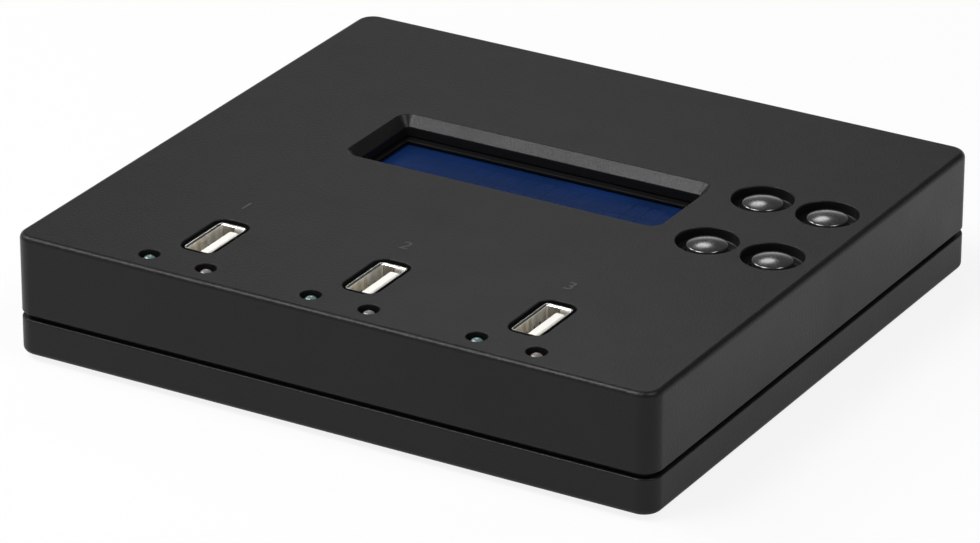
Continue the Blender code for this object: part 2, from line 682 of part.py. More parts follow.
def key_pins():
    middle = (KEY_BOARD_LEFT + KEY_BOARD_RIGHT) / 2
    first = middle - (KEY_PIN_COUNT - 1) * PIN_PITCH / 2
    return pin_row(KEY_PIN_COUNT, first, KEY_BOARD_FRONT + KEY_HEADER_INSET)


def pin_holes(pins, bottom, top):
    hole = rectangle(PIN_SIDE + 2 * SEAT_GAP, PIN_SIDE + 2 * SEAT_GAP)
    return [(moved(hole, x, y), bottom - OVERRUN, top + OVERRUN) for x, y in pins]


def leg_places(port_x):
    """Centres of the four legs of an upright socket's shell."""
    x = (SHELL_WIDTH - SHELL_SHEET) / 2
    y = SHELL_LEG_SPREAD / 2
    return [(port_x + sx * x, PORT_Y + sy * y) for _, sx, sy in CORNERS]


def build_main_board(finish):
    """The main circuit board, notched round the screw towers and drilled for what goes through it."""
    x = INNER_WIDTH / 2 - BOARD_EDGE_GAP
    y = INNER_DEPTH / 2 - BOARD_EDGE_GAP
    notch_x = TOWER_X - TOWER_RADIUS - BOARD_TOWER_GAP
    notch_y = TOWER_Y - TOWER_RADIUS - BOARD_TOWER_GAP
    outline = [(-notch_x, -y), (notch_x, -y), (notch_x, -notch_y), (x, -notch_y)]
    outline += [(x, notch_y), (notch_x, notch_y), (notch_x, y), (-notch_x, y)]
    outline += [(-notch_x, notch_y), (-x, notch_y), (-x, -notch_y), (-notch_x, -notch_y)]
    board = prism("main_board", outline, BOARD_BOTTOM, BOARD_TOP, finish)
    holes = []
    low = BOARD_BOTTOM - OVERRUN
    high = BOARD_TOP + OVERRUN
    for _, sx, sy in CORNERS:
        hole = circle(BOARD_SCREW_SHANK + SEAT_GAP, SMALL_STEPS)
        holes.append((moved(hole, sx * STANDOFF_X, sy * STANDOFF_Y), low, high))
    for led_x, led_y in led_places():
        hole = rectangle(PIN_PITCH + LED_LEAD + 2 * SEAT_GAP, LED_LEAD + 2 * SEAT_GAP)
        holes.append((moved(hole, led_x, led_y), low, high))
    for port_x in PORT_XS:
        for leg_x, leg_y in leg_places(port_x):
            hole = rectangle(SHELL_SHEET + 2 * SEAT_GAP, SHELL_LEG + 2 * SEAT_GAP)
            holes.append((moved(hole, leg_x, leg_y), low, high))
    return cut(board, joined("main_board_holes", holes))


def build_header(name, pins, panel_top, panel_bottom, finish):
    """A pin header that stands on the main board, with its pins up through a panel board."""
    first_x, y = pins[0]
    last_x = pins[-1][0]
    strip = rectangle(last_x - first_x + PIN_PITCH, HEADER_WIDTH)
    middle = (first_x + last_x) / 2
    header = prism(name, moved(strip, middle, y), BOARD_TOP + SEAT_GAP, panel_bottom - SEAT_GAP, finish)
    pin = rectangle(PIN_SIDE, PIN_SIDE)
    low = panel_bottom - SEAT_GAP - EMBED
    high = panel_top + PIN_STAND
    return fuse(header, joined(name + "_pins", [(moved(pin, px, py), low, high) for px, py in pins]))


def build_display(board_finish, frame_finish, glass_finish, light_finish, header_finish):
    """The display module: board, metal frame, glass, backlight and the header under it."""
    place = (DISPLAY_X, DISPLAY_Y, 0.0)
    outline = rounded_rectangle(LCD_BOARD_WIDTH, LCD_BOARD_DEPTH, BOARD_CORNER, SHEET_STEPS)
    board = prism("display_board", outline, LCD_BOARD_BOTTOM, LCD_BOARD_TOP, board_finish, place)
    blobs = []
    for side in (-1, 1):
        blob = moved(circle(LCD_BLOB_RADIUS, SMALL_STEPS), DISPLAY_X + side * LCD_BLOB_SPREAD / 2, DISPLAY_Y)
        blobs.append((blob, LCD_BOARD_BOTTOM - LCD_BLOB_HEIGHT, LCD_BOARD_BOTTOM + EMBED))
    fuse(board, joined("display_chips", blobs))
    holes = pin_holes(lcd_pins(), LCD_BOARD_BOTTOM, LCD_BOARD_TOP)
    for x, y, seat in panel_boss_places()[:4]:
        hole = circle(PANEL_SCREW_SHANK + SEAT_GAP, SMALL_STEPS)
        holes.append((moved(hole, x, y), LCD_BOARD_BOTTOM - OVERRUN, LCD_BOARD_TOP + OVERRUN))
    cut(board, joined("display_board_holes", holes))

    can = rectangle(LCD_FRAME_WIDTH, LCD_FRAME_DEPTH)
    frame_bottom = LCD_BOARD_TOP + SEAT_GAP
    frame = prism("display_frame", can, frame_bottom, LCD_FRAME_TOP, frame_finish, place)
    inside = rectangle(LCD_FRAME_WIDTH - 2 * LCD_FRAME_SHEET, LCD_FRAME_DEPTH - 2 * LCD_FRAME_SHEET)
    inside_top = LCD_FRAME_TOP - LCD_FRAME_SHEET
    cut(frame, prism("frame_inside", inside, frame_bottom - OVERRUN, inside_top, place=place))
    view = rectangle(LCD_VIEW_WIDTH, LCD_VIEW_DEPTH)
    cut(frame, prism("frame_view", view, frame_bottom, LCD_FRAME_TOP + OVERRUN, place=place))

    lens_width = LCD_FRAME_WIDTH - 2 * LCD_FRAME_SHEET - 2 * SEAT_GAP
    lens_depth = LCD_FRAME_DEPTH - 2 * LCD_FRAME_SHEET - 2 * SEAT_GAP
    glass = rectangle(lens_width, lens_depth)
    prism("display_glass", glass, GLASS_BOTTOM, GLASS_TOP, glass_finish, place)
    prism("display_backlight", glass, LCD_BOARD_TOP + SEAT_GAP, GLASS_BOTTOM - SEAT_GAP, light_finish, place)
    build_header("display_header", lcd_pins(), LCD_BOARD_TOP, LCD_BOARD_BOTTOM, header_finish)


def build_keys(cap_finish, board_finish, switch_finish, plunger_finish, header_finish):
    """The four keys: caps that show, the switches under them, and the small board that holds these."""
    width = KEY_BOARD_RIGHT - KEY_BOARD_LEFT
    depth = KEY_BOARD_BACK - KEY_BOARD_FRONT
    middle_x = (KEY_BOARD_LEFT + KEY_BOARD_RIGHT) / 2
    middle_y = (KEY_BOARD_FRONT + KEY_BOARD_BACK) / 2
    outline = moved(rounded_rectangle(width, depth, BOARD_CORNER, SHEET_STEPS), middle_x, middle_y)
    board = prism("key_board", outline, KEY_BOARD_BOTTOM, KEY_BOARD_TOP, board_finish)
    holes = pin_holes(key_pins(), KEY_BOARD_BOTTOM, KEY_BOARD_TOP)
    for x in BUTTON_XS:
        hole = circle(PANEL_SCREW_SHANK + SEAT_GAP, SMALL_STEPS)
        holes.append((moved(hole, x, BUTTON_MID_Y), KEY_BOARD_BOTTOM - OVERRUN, KEY_BOARD_TOP + OVERRUN))
    cut(board, joined("key_board_holes", holes))
    build_header("key_header", key_pins(), KEY_BOARD_TOP, KEY_BOARD_BOTTOM, header_finish)

    inner = CAP_RADIUS - CAP_WALL
    hollow_top = CAP_RIM - CAP_TOP_WALL - CAP_BOTTOM
    rim = CAP_RIM - CAP_BOTTOM
    cap = [
        (0.0, 0.0), (CAP_POST_RADIUS, 0.0), (CAP_POST_RADIUS, hollow_top), (inner, hollow_top), (inner, 0.0),
        (CAP_RADIUS + CAP_FLANGE, 0.0), (CAP_RADIUS + CAP_FLANGE, CAP_FLANGE_HEIGHT),
        (CAP_RADIUS, CAP_FLANGE_HEIGHT), (CAP_RADIUS, rim - CAP_EDGE), (CAP_RADIUS - CAP_EDGE, rim),
    ]
    dome_radius = CAP_RADIUS - CAP_EDGE
    cap += [(dome_radius * share, rim + CAP_DOME * (1 - share**2)) for share in CAP_DOME_SHARES]
    plunger_bottom = TACT_BOTTOM + TACT_FLOOR + SEAT_GAP + KEY_TRAVEL
    plunger_height = PLUNGER_TOP - plunger_bottom
    plunger = [(0.0, 0.0), (PLUNGER_RADIUS, 0.0), (PLUNGER_RADIUS, plunger_height), (0.0, plunger_height)]
    for index, (x, y) in enumerate(key_places(), 1):
        smooth(lathe(f"key_cap_{index}", cap, cap_finish, (x, y, CAP_BOTTOM), KEY_STEPS))
        smooth(lathe(f"key_plunger_{index}", plunger, plunger_finish, (x, y, plunger_bottom), SMALL_STEPS))
        square = rounded_rectangle(TACT_SIDE, TACT_SIDE, TACT_CHAMFER, 1)
        switch = prism(f"key_switch_{index}", square, TACT_BOTTOM, TACT_TOP, switch_finish, (x, y, 0.0))
        bore = moved(circle(PLUNGER_RADIUS + SEAT_GAP, SMALL_STEPS), x, y)
        cut(switch, prism(f"key_bore_{index}", bore, TACT_BOTTOM + TACT_FLOOR, TACT_TOP + OVERRUN))


def build_leds(finishes):
    """Domed lamps on long leads. Each stands in its hole beside the socket that it belongs to."""
    top = CASE_TOP - LED_DROP
    bottom = top - LED_HEIGHT
    straight = LED_HEIGHT - LED_RADIUS
    flange_top = LED_FLANGE_HEIGHT
    profile = [(0.0, 0.0), (LED_FLANGE, 0.0), (LED_FLANGE, flange_top), (LED_RADIUS, flange_top)]
    for share in LED_DOME_SHARES:
        angle = math.radians(90.0) * share
        profile.append((LED_RADIUS * math.cos(angle), straight + LED_RADIUS * math.sin(angle)))
    profile[-1] = (0.0, LED_HEIGHT)
    for index, (x, y) in enumerate(led_places()):
        name = f"status_lamp_{index // 2 + 1}{'ab'[index % 2]}"
        lamp = lathe(name, profile, finishes[index % 2], (x, y, bottom), SMALL_STEPS)
        lead = rectangle(LED_LEAD, LED_LEAD)
        low = BOARD_BOTTOM - LEAD_STAND
        leads = [(moved(lead, x + side * PIN_PITCH / 2, y), low, bottom + EMBED) for side in (-1, 1)]
        smooth(fuse(lamp, joined(name + "_leads", leads)))


def build_socket(index, port_x, shell_finish, block_finish):
    """One upright USB socket: a sheet-metal shell with a flared mouth, and the block with its tongue."""
    place = (port_x, PORT_Y, 0.0)
    bottom = BOARD_TOP + SEAT_GAP
    neck = PORT_TOP - SHELL_FLARE

    def tube(inset, flare):
        side = 2 * (flare - inset)
        corner = SHELL_CORNER - inset + flare
        return rounded_rectangle(SHELL_WIDTH + side, SHELL_LENGTH + side, corner, SHEET_STEPS)

    name = f"usb_shell_{index}"
    levels = [(tube(0.0, 0.0), bottom), (tube(0.0, 0.0), neck), (tube(0.0, SHELL_FLARE / 2), PORT_TOP)]
    shell = loft(name, levels, shell_finish, place)
    bore = [
        (tube(SHELL_SHEET, 0.0), bottom - OVERRUN),
        (tube(SHELL_SHEET, 0.0), neck),
        (tube(SHELL_SHEET, SHELL_FLARE), PORT_TOP + SHELL_SHEET),
    ]
    cut(shell, loft(name + "_bore", bore, place=place))
    leg = rectangle(SHELL_SHEET, SHELL_LEG)
    low = BOARD_BOTTOM - SHELL_LEG_STAND
    legs = [(moved(leg, x, y), low, bottom + SHELL_LEG) for x, y in leg_places(port_x)]
    fuse(shell, joined(name + "_legs", legs))
    slots = []
    spring_top = PORT_TOP - SPRING_DROP
    for side in (-1, 1):
        for edge in (-1, 1):
            y = PORT_Y + side * SPRING_SPREAD / 2 + edge * (SPRING_WIDTH + SPRING_SLOT) / 2
            slot = rectangle(SHELL_WIDTH + 2 * OVERRUN, SPRING_SLOT)
            slots.append((moved(slot, port_x, y), spring_top - SPRING_LENGTH, spring_top))
    cut(shell, joined(name + "_spring_sides", slots))
    tips = []
    for side in (-1, 1):
        tip = rectangle(SHELL_WIDTH + 2 * OVERRUN, SPRING_WIDTH + SPRING_SLOT)
        y = PORT_Y + side * SPRING_SPREAD / 2
        root = spring_top - SPRING_LENGTH
        tips.append((moved(tip, port_x, y), root, root + SPRING_SLOT))
    cut(shell, joined(name + "_spring_tips", tips))
    smooth(shell)

    inner_width = SHELL_WIDTH - 2 * SHELL_SHEET
    block = rectangle(inner_width - 2 * SEAT_GAP, SHELL_LENGTH - 2 * SHELL_SHEET - 2 * SEAT_GAP)
    socket = prism(f"usb_tongue_{index}", block, bottom, bottom + SOCKET_BLOCK, block_finish, place)
    tongue_x = inner_width / 2 - TONGUE_SIDE_GAP - TONGUE_WIDTH / 2
    tongue_top = PORT_TOP - TONGUE_DROP
    tongue = moved(rectangle(TONGUE_WIDTH, TONGUE_LENGTH), tongue_x, 0.0)
    tip = rectangle(TONGUE_WIDTH - 2 * TONGUE_CHAMFER, TONGUE_LENGTH - 2 * TONGUE_CHAMFER)
    root = bottom + SOCKET_BLOCK - EMBED
    levels = [(tongue, root), (tongue, tongue_top - TONGUE_CHAMFER), (moved(tip, tongue_x, 0.0), tongue_top)]
    fuse(socket, loft(f"tongue_{index}", levels, place=place))
    strips = []
    for i in range(CONTACT_COUNT):
        y = PORT_Y + (i - (CONTACT_COUNT - 1) / 2) * CONTACT_PITCH
        strip = rectangle(2 * CONTACT_PROUD, CONTACT_WIDTH)
        x = port_x + tongue_x - TONGUE_WIDTH / 2
        strips.append((moved(strip, x, y), root, tongue_top - CONTACT_DROP))
    fuse(socket, joined(f"contacts_{index}", strips))


def build_power_inlet(housing_finish, pin_finish):
    """The barrel inlet: a moulded block whose round nose fills a hole in the back wall, and its pin."""
    body = moved(rectangle(JACK_WIDTH, JACK_LENGTH), 0.0, -JACK_LENGTH / 2)
    place = (JACK_X, JACK_FRONT, 0.0)
    jack = prism("power_inlet", body, JACK_BOTTOM, JACK_BOTTOM + JACK_HEIGHT, housing_finish, place)
    nose_reach = BACK_EDGE - JACK_NOSE_RECESS - JACK_FRONT
    nose = prism("inlet_nose", circle(JACK_NOSE, ROUND_STEPS), -EMBED, nose_reach)
    fuse(jack, turn_to_back(nose, JACK_X, JACK_FRONT, JACK_Z))
    bore_depth = JACK_LENGTH - JACK_BACK
    bore = prism("inlet_bore", circle(JACK_BORE, ROUND_STEPS), -bore_depth, nose_reach + OVERRUN)
    cut(jack, turn_to_back(bore, JACK_X, JACK_FRONT, JACK_Z))
    pin_round = circle(JACK_PIN + SEAT_GAP, SMALL_STEPS)
    pin_hole = prism("inlet_pin_hole", pin_round, -JACK_LENGTH - OVERRUN, -bore_depth + EMBED)
    cut(jack, turn_to_back(pin_hole, JACK_X, JACK_FRONT, JACK_Z))
    smooth(jack)

    tip = nose_reach - JACK_PIN_RECESS
    tail = -JACK_LENGTH - SEAT_GAP - JACK_TAB_SHEET
    start = tail + EMBED
    shoulder = tip - JACK_PIN / 2
    profile = [(0.0, start), (JACK_PIN, start), (JACK_PIN, shoulder), (JACK_PIN / 2, tip), (0.0, tip)]
    pin = lathe("inlet_pin", profile, pin_finish, steps=SMALL_STEPS)
    turn_to_back(pin, JACK_X, JACK_FRONT, JACK_Z)
    tab = moved(rectangle(JACK_TAB_WIDTH, JACK_TAB_SHEET), JACK_X, JACK_FRONT + tail + JACK_TAB_SHEET / 2)
    fuse(pin, prism("inlet_tab", tab, BOARD_TOP + SEAT_GAP, JACK_Z + JACK_TAB_WIDTH / 2))
    smooth(pin)


def build_power_switch(housing_finish, rocker_finish):
    """The rocker and the housing that it turns in. Its axis is upright, so its ends lie left and right."""
    front = BACK_WALL - SEAT_GAP
    outer_x = ROCKER_SWEEP + SWITCH_WALL
    body = moved(rectangle(2 * outer_x, SWITCH_LENGTH), ROCKER_X, front - SWITCH_LENGTH / 2)
    low = SWITCH_Z - SWITCH_HALF_Z
    high = SWITCH_Z + SWITCH_HALF_Z
    housing = prism("power_switch_housing", body, low, high, housing_finish)
    room_depth = SWITCH_LENGTH - SWITCH_BACK
    room = rectangle(2 * ROCKER_SWEEP, room_depth + OVERRUN)
    room = moved(room, ROCKER_X, front + (OVERRUN - room_depth) / 2)
    half_room = ROCKER_HEIGHT / 2 + SWITCH_SIDE_GAP
    cut(housing, prism("switch_room", room, SWITCH_Z - half_room, SWITCH_Z + half_room))
    bearing = moved(circle(ROCKER_STUB + SEAT_GAP, SMALL_STEPS), ROCKER_X, ROCKER_AXIS_Y)
    cut(housing, prism("switch_bearing", bearing, low - OVERRUN, high + OVERRUN))
    smooth(housing)

    axis = bpy.data.objects.new("rocker_axis", None)
    axis.location = (ROCKER_X, ROCKER_AXIS_Y, SWITCH_Z)
    bpy.context.scene.collection.objects.link(axis)
    half = ROCKER_HEIGHT / 2
    root = ROCKER_HALF - ROCKER_ROOT
    edge = ROCKER_HALF - ROCKER_EDGE
    shoulder = ROCKER_TIP - ROCKER_EDGE
    profile = [(-ROCKER_HALF, 0.0), (-root, -ROCKER_ROOT), (root, -ROCKER_ROOT), (ROCKER_HALF, 0.0)]
    profile += [(ROCKER_HALF, shoulder), (edge, ROCKER_TIP), (0.0, ROCKER_VALLEY)]
    profile += [(-edge, ROCKER_TIP), (-ROCKER_HALF, shoulder)]
    rocker = prism("power_rocker", profile, -half, half, rocker_finish)
    reach = half + SWITCH_SIDE_GAP + ROCKER_STUB_LENGTH
    stub = prism("rocker_stubs", circle(ROCKER_STUB, SMALL_STEPS), -reach, reach)
    fuse(rocker, stub)
    for piece in (rocker, stub):
        piece.parent = axis
        piece.rotation_euler = (0.0, 0.0, -ROCKER_TILT)
    smooth(rocker)


def build_board_parts(chip_finish, can_finish, capacitor_finish):
    """What stands on the main board: the controller chip, its crystal and the supply capacitor."""
    seat = BOARD_TOP + SEAT_GAP
    pitch = CHIP_SIDE / (CHIP_LEADS + 1)
    lead = pitch * CHIP_LEAD_SHARE
    square = moved(rectangle(CHIP_SIDE, CHIP_SIDE), CHIP_X, CHIP_Y)
    chip = prism("controller_chip", square, seat, seat + CHIP_HEIGHT, chip_finish)
    span = CHIP_SIDE + 2 * CHIP_LEAD_REACH
    rows = []
    columns = []
    for i in range(CHIP_LEADS):
        along = (i - (CHIP_LEADS - 1) / 2) * pitch
        rows.append((moved(rectangle(span, lead), CHIP_X, CHIP_Y + along), seat, seat + CHIP_LEAD_SHEET))
        columns.append((moved(rectangle(lead, span), CHIP_X + along, CHIP_Y), seat, seat + CHIP_LEAD_SHEET))
    fuse(chip, joined("chip_rows", rows))
    fuse(chip, joined("chip_columns", columns))
    can = rounded_rectangle(CRYSTAL_LENGTH, CRYSTAL_WIDTH, CRYSTAL_WIDTH * CRYSTAL_END_SHARE)
    can = moved(can, CHIP_X + CRYSTAL_TO_CHIP, CHIP_Y)
    smooth(prism("crystal_can", can, seat, seat + CRYSTAL_HEIGHT, can_finish))
    neck = CAPACITOR_NECK
    radius = CAPACITOR_RADIUS
    profile = [
        (0.0, 0.0), (radius, 0.0), (radius, 3 * neck), (radius - neck, 4 * neck), (radius, 5 * neck),
        (radius, CAPACITOR_HEIGHT - neck), (radius - neck, CAPACITOR_HEIGHT), (0.0, CAPACITOR_HEIGHT),
    ]
    place = (CAPACITOR_X, CAPACITOR_Y, seat)
    smooth(lathe("supply_capacitor", profile, capacitor_finish, place, SMALL_STEPS))


def main():
    clear_scene()
    black = material("case_black", (0.028, 0.028, 0.029), 0.55)
    rubber = material("foot_rubber", (0.02, 0.02, 0.02), 0.85)
    steel = material("screw_steel", (0.45, 0.45, 0.46), 0.35, 1.0)
    nickel = material("shell_nickel", (0.75, 0.74, 0.72), 0.25, 1.0)
    ivory = material("socket_white", (0.85, 0.84, 0.8), 0.45)
    green = material("board_green", (0.02, 0.16, 0.06), 0.5)
    frame_black = material("display_black", (0.012, 0.012, 0.013), 0.4)
    blue = material("display_blue", (0.006, 0.03, 0.13), 0.15)
    milky = material("backlight_white", (0.8, 0.82, 0.85), 0.5)
    key_grey = material("key_grey", (0.07, 0.07, 0.072), 0.3)
    dark = material("moulded_black", (0.015, 0.015, 0.015), 0.45)
    amber = material("plunger_brown", (0.25, 0.14, 0.07), 0.5)
    lamp_green = material("lamp_green", (0.55, 0.75, 0.7), 0.2)
    lamp_red = material("lamp_red", (0.8, 0.68, 0.66), 0.2)
    chip = material("chip_black", (0.02, 0.02, 0.022), 0.5)
    sleeve = material("capacitor_sleeve", (0.03, 0.03, 0.07), 0.4)

    build_cover(black)
    build_base(black)
    build_feet(rubber)
    build_screws(steel)
    build_main_board(green)
    build_display(green, frame_black, blue, milky, dark)
    build_keys(key_grey, green, dark, amber, dark)
    build_leds((lamp_green, lamp_red))
    for index, port_x in enumerate(PORT_XS, 1):
        build_socket(index, port_x, nickel, ivory)
    build_power_inlet(dark, nickel)
    build_power_switch(dark, dark)
    build_board_parts(chip, steel, sleeve)


main()
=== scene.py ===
"""The looks of a flash drive duplicator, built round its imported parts.

Lengths are metres, X runs along the front edge, Y from front to back and Z up. Each
sub-assembly is a class that builds its own pieces and dresses them, and main() builds
the classes in order.
"""

from __future__ import annotations

import json
import logging
import math
from collections.abc import Iterable, Sequence
from dataclasses import dataclass, field
from enum import Enum
from typing import Any

import bmesh
import bpy
from mathutils import Matrix, Vector

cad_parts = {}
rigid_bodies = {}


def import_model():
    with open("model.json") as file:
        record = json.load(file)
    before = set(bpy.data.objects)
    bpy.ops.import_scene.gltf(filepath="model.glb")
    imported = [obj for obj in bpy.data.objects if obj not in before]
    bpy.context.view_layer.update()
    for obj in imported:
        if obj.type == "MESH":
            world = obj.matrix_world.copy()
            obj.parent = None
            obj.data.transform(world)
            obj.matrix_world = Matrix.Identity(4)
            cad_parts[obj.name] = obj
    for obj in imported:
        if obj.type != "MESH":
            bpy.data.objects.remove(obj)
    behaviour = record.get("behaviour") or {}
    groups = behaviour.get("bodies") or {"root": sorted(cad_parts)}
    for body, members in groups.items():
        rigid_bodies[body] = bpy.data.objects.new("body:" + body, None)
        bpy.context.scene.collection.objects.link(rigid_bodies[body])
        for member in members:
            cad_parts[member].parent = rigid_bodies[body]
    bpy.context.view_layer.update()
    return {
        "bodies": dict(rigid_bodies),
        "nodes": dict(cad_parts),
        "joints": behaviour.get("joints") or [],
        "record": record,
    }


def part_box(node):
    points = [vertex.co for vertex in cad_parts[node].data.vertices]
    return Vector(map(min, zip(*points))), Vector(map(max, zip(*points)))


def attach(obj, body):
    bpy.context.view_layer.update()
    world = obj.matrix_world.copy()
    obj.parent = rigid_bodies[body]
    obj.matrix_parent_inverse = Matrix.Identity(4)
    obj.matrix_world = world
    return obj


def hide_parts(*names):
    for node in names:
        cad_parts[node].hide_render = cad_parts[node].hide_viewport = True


MM = 0.001
# How far a cutter runs past the face that it opens.
OVERRUN = 1.0 * MM
# How deep a solid stands in the one that it is fused to.
BITE = 0.4 * MM
LOG = logging.getLogger("duplicator")

Point = tuple[float, float]
Outline = list[Point]
Level = tuple[Outline, float]
Colour = tuple[float, float, float]
CORNERS = (("front_left", -1, -1), ("front_right", 1, -1), ("back_right", 1, 1), ("back_left", -1, 1))


# Outlines


def circle(radius: float, steps: int = 48, centre: Point = (0.0, 0.0)) -> Outline:
    """Makes a round outline.

    Args:
        radius: its radius.
        steps: the number of its corners.
        centre: where its middle lies.

    Returns:
        The corners, anticlockwise.
    """
    turn = math.tau / steps
    return [
        (centre[0] + radius * math.cos(i * turn), centre[1] + radius * math.sin(i * turn))
        for i in range(steps)
    ]


def rounded_rectangle(
    width: float, depth: float, radius: float, steps: int = 8, centre: Point = (0.0, 0.0)
) -> Outline:
    """Makes a rectangle with round corners.

    Args:
        width: its size along X.
        depth: its size along Y.
        radius: the radius of its corners.
        steps: the number of facets of each corner.
        centre: where its middle lies.

    Returns:
        The corners, anticlockwise from the right end of the front side.
    """
    points: Outline = []
    for quarter, (sx, sy) in enumerate([(1, -1), (1, 1), (-1, 1), (-1, -1)]):
        x = centre[0] + sx * (width / 2 - radius)
        y = centre[1] + sy * (depth / 2 - radius)
        for i in range(steps + 1):
            angle = math.radians(90.0) * (quarter - 1 + i / steps)
            points.append((x + radius * math.cos(angle), y + radius * math.sin(angle)))
    return points


def arc_path(corners: Sequence[tuple[float, float, float]], steps: int = 6) -> Outline:
    """Rounds the corners of an open path.

    Args:
        corners: the path's corners, each with the radius that it is rounded to.
        steps: the number of facets of each rounded corner.

    Returns:
        The points of the rounded path.
    """
    path: Outline = []
    for index, (x, y, radius) in enumerate(corners):
        here = Vector((x, y))
        if radius == 0.0 or index in (0, len(corners) - 1):
            path.append((x, y))
            continue
        back = (Vector(corners[index - 1][:2]) - here).normalized()
        ahead = (Vector(corners[index + 1][:2]) - here).normalized()
        half = math.acos(max(-1.0, min(1.0, back.dot(ahead)))) / 2
        middle = here + (back + ahead).normalized() * radius / math.sin(half)
        start = here + back * radius / math.tan(half) - middle
        end = here + ahead * radius / math.tan(half) - middle
        first = math.atan2(start.y, start.x)
        sweep = (math.atan2(end.y, end.x) - first + math.pi) % math.tau - math.pi
        for i in range(steps + 1):
            angle = first + sweep * i / steps
            path.append((middle.x + radius * math.cos(angle), middle.y + radius * math.sin(angle)))
    return path


def mouth(bottom: float, top: float, lip: float) -> Outline:
    """Makes the side of a cutter that leaves a rounded lip where it comes out of a face.

    Args:
        bottom: the level where the cutter starts.
        top: the level of the face.
        lip: the radius of the lip.

    Returns:
        Pairs of outset and level, from the bottom up.
    """
    rise = 3 * lip * 0.12
    path = arc_path([(0.0, bottom, 0.0), (0.0, top - lip * 0.02, lip), (3 * lip, top + rise, 0.0)])
    return path + [(3 * lip, top + rise + OVERRUN)]


# Meshes


def mesh_object(name: str, points: Iterable[Sequence[float]], faces: list[list[int]]) -> bpy.types.Object:
    """Makes an object from points and faces and puts it in the scene.

    Args:
        name: the name of the object.
        points: its corners.
        faces: its faces, as indices of the corners.

    Returns:
        The object.
    """
    mesh = bpy.data.meshes.new(name)
    mesh.from_pydata([tuple(p) for p in points], [], faces)
    mesh.update()
    made = bpy.data.objects.new(name, mesh)
    bpy.context.scene.collection.objects.link(made)
    return made


def loft(name: str, levels: Sequence[Level]) -> bpy.types.Object:
    """Joins outlines of equal count into a closed solid.

    Args:
        name: the name of the object.
        levels: each outline with its level, from the bottom up.

    Returns:
        The solid.
    """
    count = len(levels[0][0])
    points = [(x, y, z) for outline, z in levels for x, y in outline]
    faces = [list(range(count))[::-1]]
    for level in range(len(levels) - 1):
        low = level * count
        for i in range(count):
            j = (i + 1) % count
            faces.append([low + i, low + j, low + count + j, low + count + i])
    top = (len(levels) - 1) * count
    faces.append([top + i for i in range(count)])
    return mesh_object(name, points, faces)


def prism(name: str, outline: Outline, bottom: float, top: float) -> bpy.types.Object:
    """Makes an upright solid with one outline, between two levels."""
    return loft(name, [(outline, bottom), (outline, top)])


def lathe(name: str, profile: Outline, steps: int = 64, centre: Point = (0.0, 0.0)) -> bpy.types.Object:
    """Turns a profile about an upright axis into a closed solid.

    Args:
        name: the name of the object.
        profile: pairs of radius and level, which start and end on the axis, bottom first.
        steps: the number of facets round the axis.
        centre: where the axis stands.

    Returns:
        The solid.
    """
    rings = profile[1:-1]
    points: list[tuple[float, float, float]] = [(centre[0], centre[1], profile[0][1])]
    for radius, z in rings:
        points += [(x, y, z) for x, y in circle(radius, steps, centre)]
    points.append((centre[0], centre[1], profile[-1][1]))
    faces: list[list[int]] = []
    for i in range(steps):
        j = (i + 1) % steps
        faces.append([0, 1 + j, 1 + i])
        for ring in range(len(rings) - 1):
            low = 1 + ring * steps
            faces.append([low + i, low + j, low + steps + j, low + steps + i])
        top = 1 + (len(rings) - 1) * steps
        faces.append([top + i, top + j, len(points) - 1])
    return mesh_object(name, points, faces)


def outward(made: bpy.types.Object) -> bpy.types.Object:
    """Turns every face of a closed mesh outwards.

    Args:
        made: the object.

    Returns:
        The object.
    """
    solid = bmesh.new()
    solid.from_mesh(made.data)
    bmesh.ops.recalc_face_normals(solid, faces=solid.faces)
    solid.to_mesh(made.data)
    solid.free()
    return made


def strip(name: str, side: Outline, width: float) -> bpy.types.Object:
    """Makes a strip that looks the same all along Y.

    Args:
        name: the name of the object.
        side: its outline seen from the front, in X and Z.
        width: its size along Y.

    Returns:
        The strip.
    """
    points = [(x, y, z) for y in (-width / 2, width / 2) for x, z in side]
    count = len(side)
    faces = [list(range(count)), list(range(count, 2 * count))[::-1]]
    faces += [[i, count + i, count + (i + 1) % count, (i + 1) % count] for i in range(count)]
    return outward(mesh_object(name, points, faces))


def remove(*objects: bpy.types.Object) -> None:
    """Takes helper objects and their meshes out of the file.

    Args:
        objects: the objects.
    """
    for made in objects:
        mesh = made.data
        bpy.data.objects.remove(made)
        if isinstance(mesh, bpy.types.Mesh) and mesh.users == 0:
            bpy.data.meshes.remove(mesh)


def merged(name: str, pieces: Sequence[bpy.types.Object]) -> bpy.types.Object:
    """Puts several meshes into one object, side by side and uncut.

    Args:
        name: the name of the new object.
        pieces: the objects, which are removed.

    Returns:
        The new object.
    """
    gathered = bmesh.new()
    for piece in pieces:
        copy = piece.data.copy()
        copy.transform(piece.matrix_world)
        gathered.from_mesh(copy)
        bpy.data.meshes.remove(copy)
    mesh = bpy.data.meshes.new(name)
    gathered.to_mesh(mesh)
    gathered.free()
    remove(*pieces)
    made = bpy.data.objects.new(name, mesh)
    bpy.context.scene.collection.objects.link(made)
    return made


def settle(made: bpy.types.Object) -> bpy.types.Object:
    """Turns what an object's modifiers make of it into its own mesh.

    Args:
        made: the object.

    Returns:
        The object.
    """
    graph = bpy.context.evaluated_depsgraph_get()
    mesh = bpy.data.meshes.new_from_object(
        made.evaluated_get(graph), preserve_all_data_layers=True, depsgraph=graph
    )
    old = made.data
    made.modifiers.clear()
    made.data = mesh
    mesh.name = made.name
    bpy.data.meshes.remove(old)
    return made


class Join(Enum):
    """The ways in which one solid changes another."""

    CUT = "DIFFERENCE"
    FUSE = "UNION"


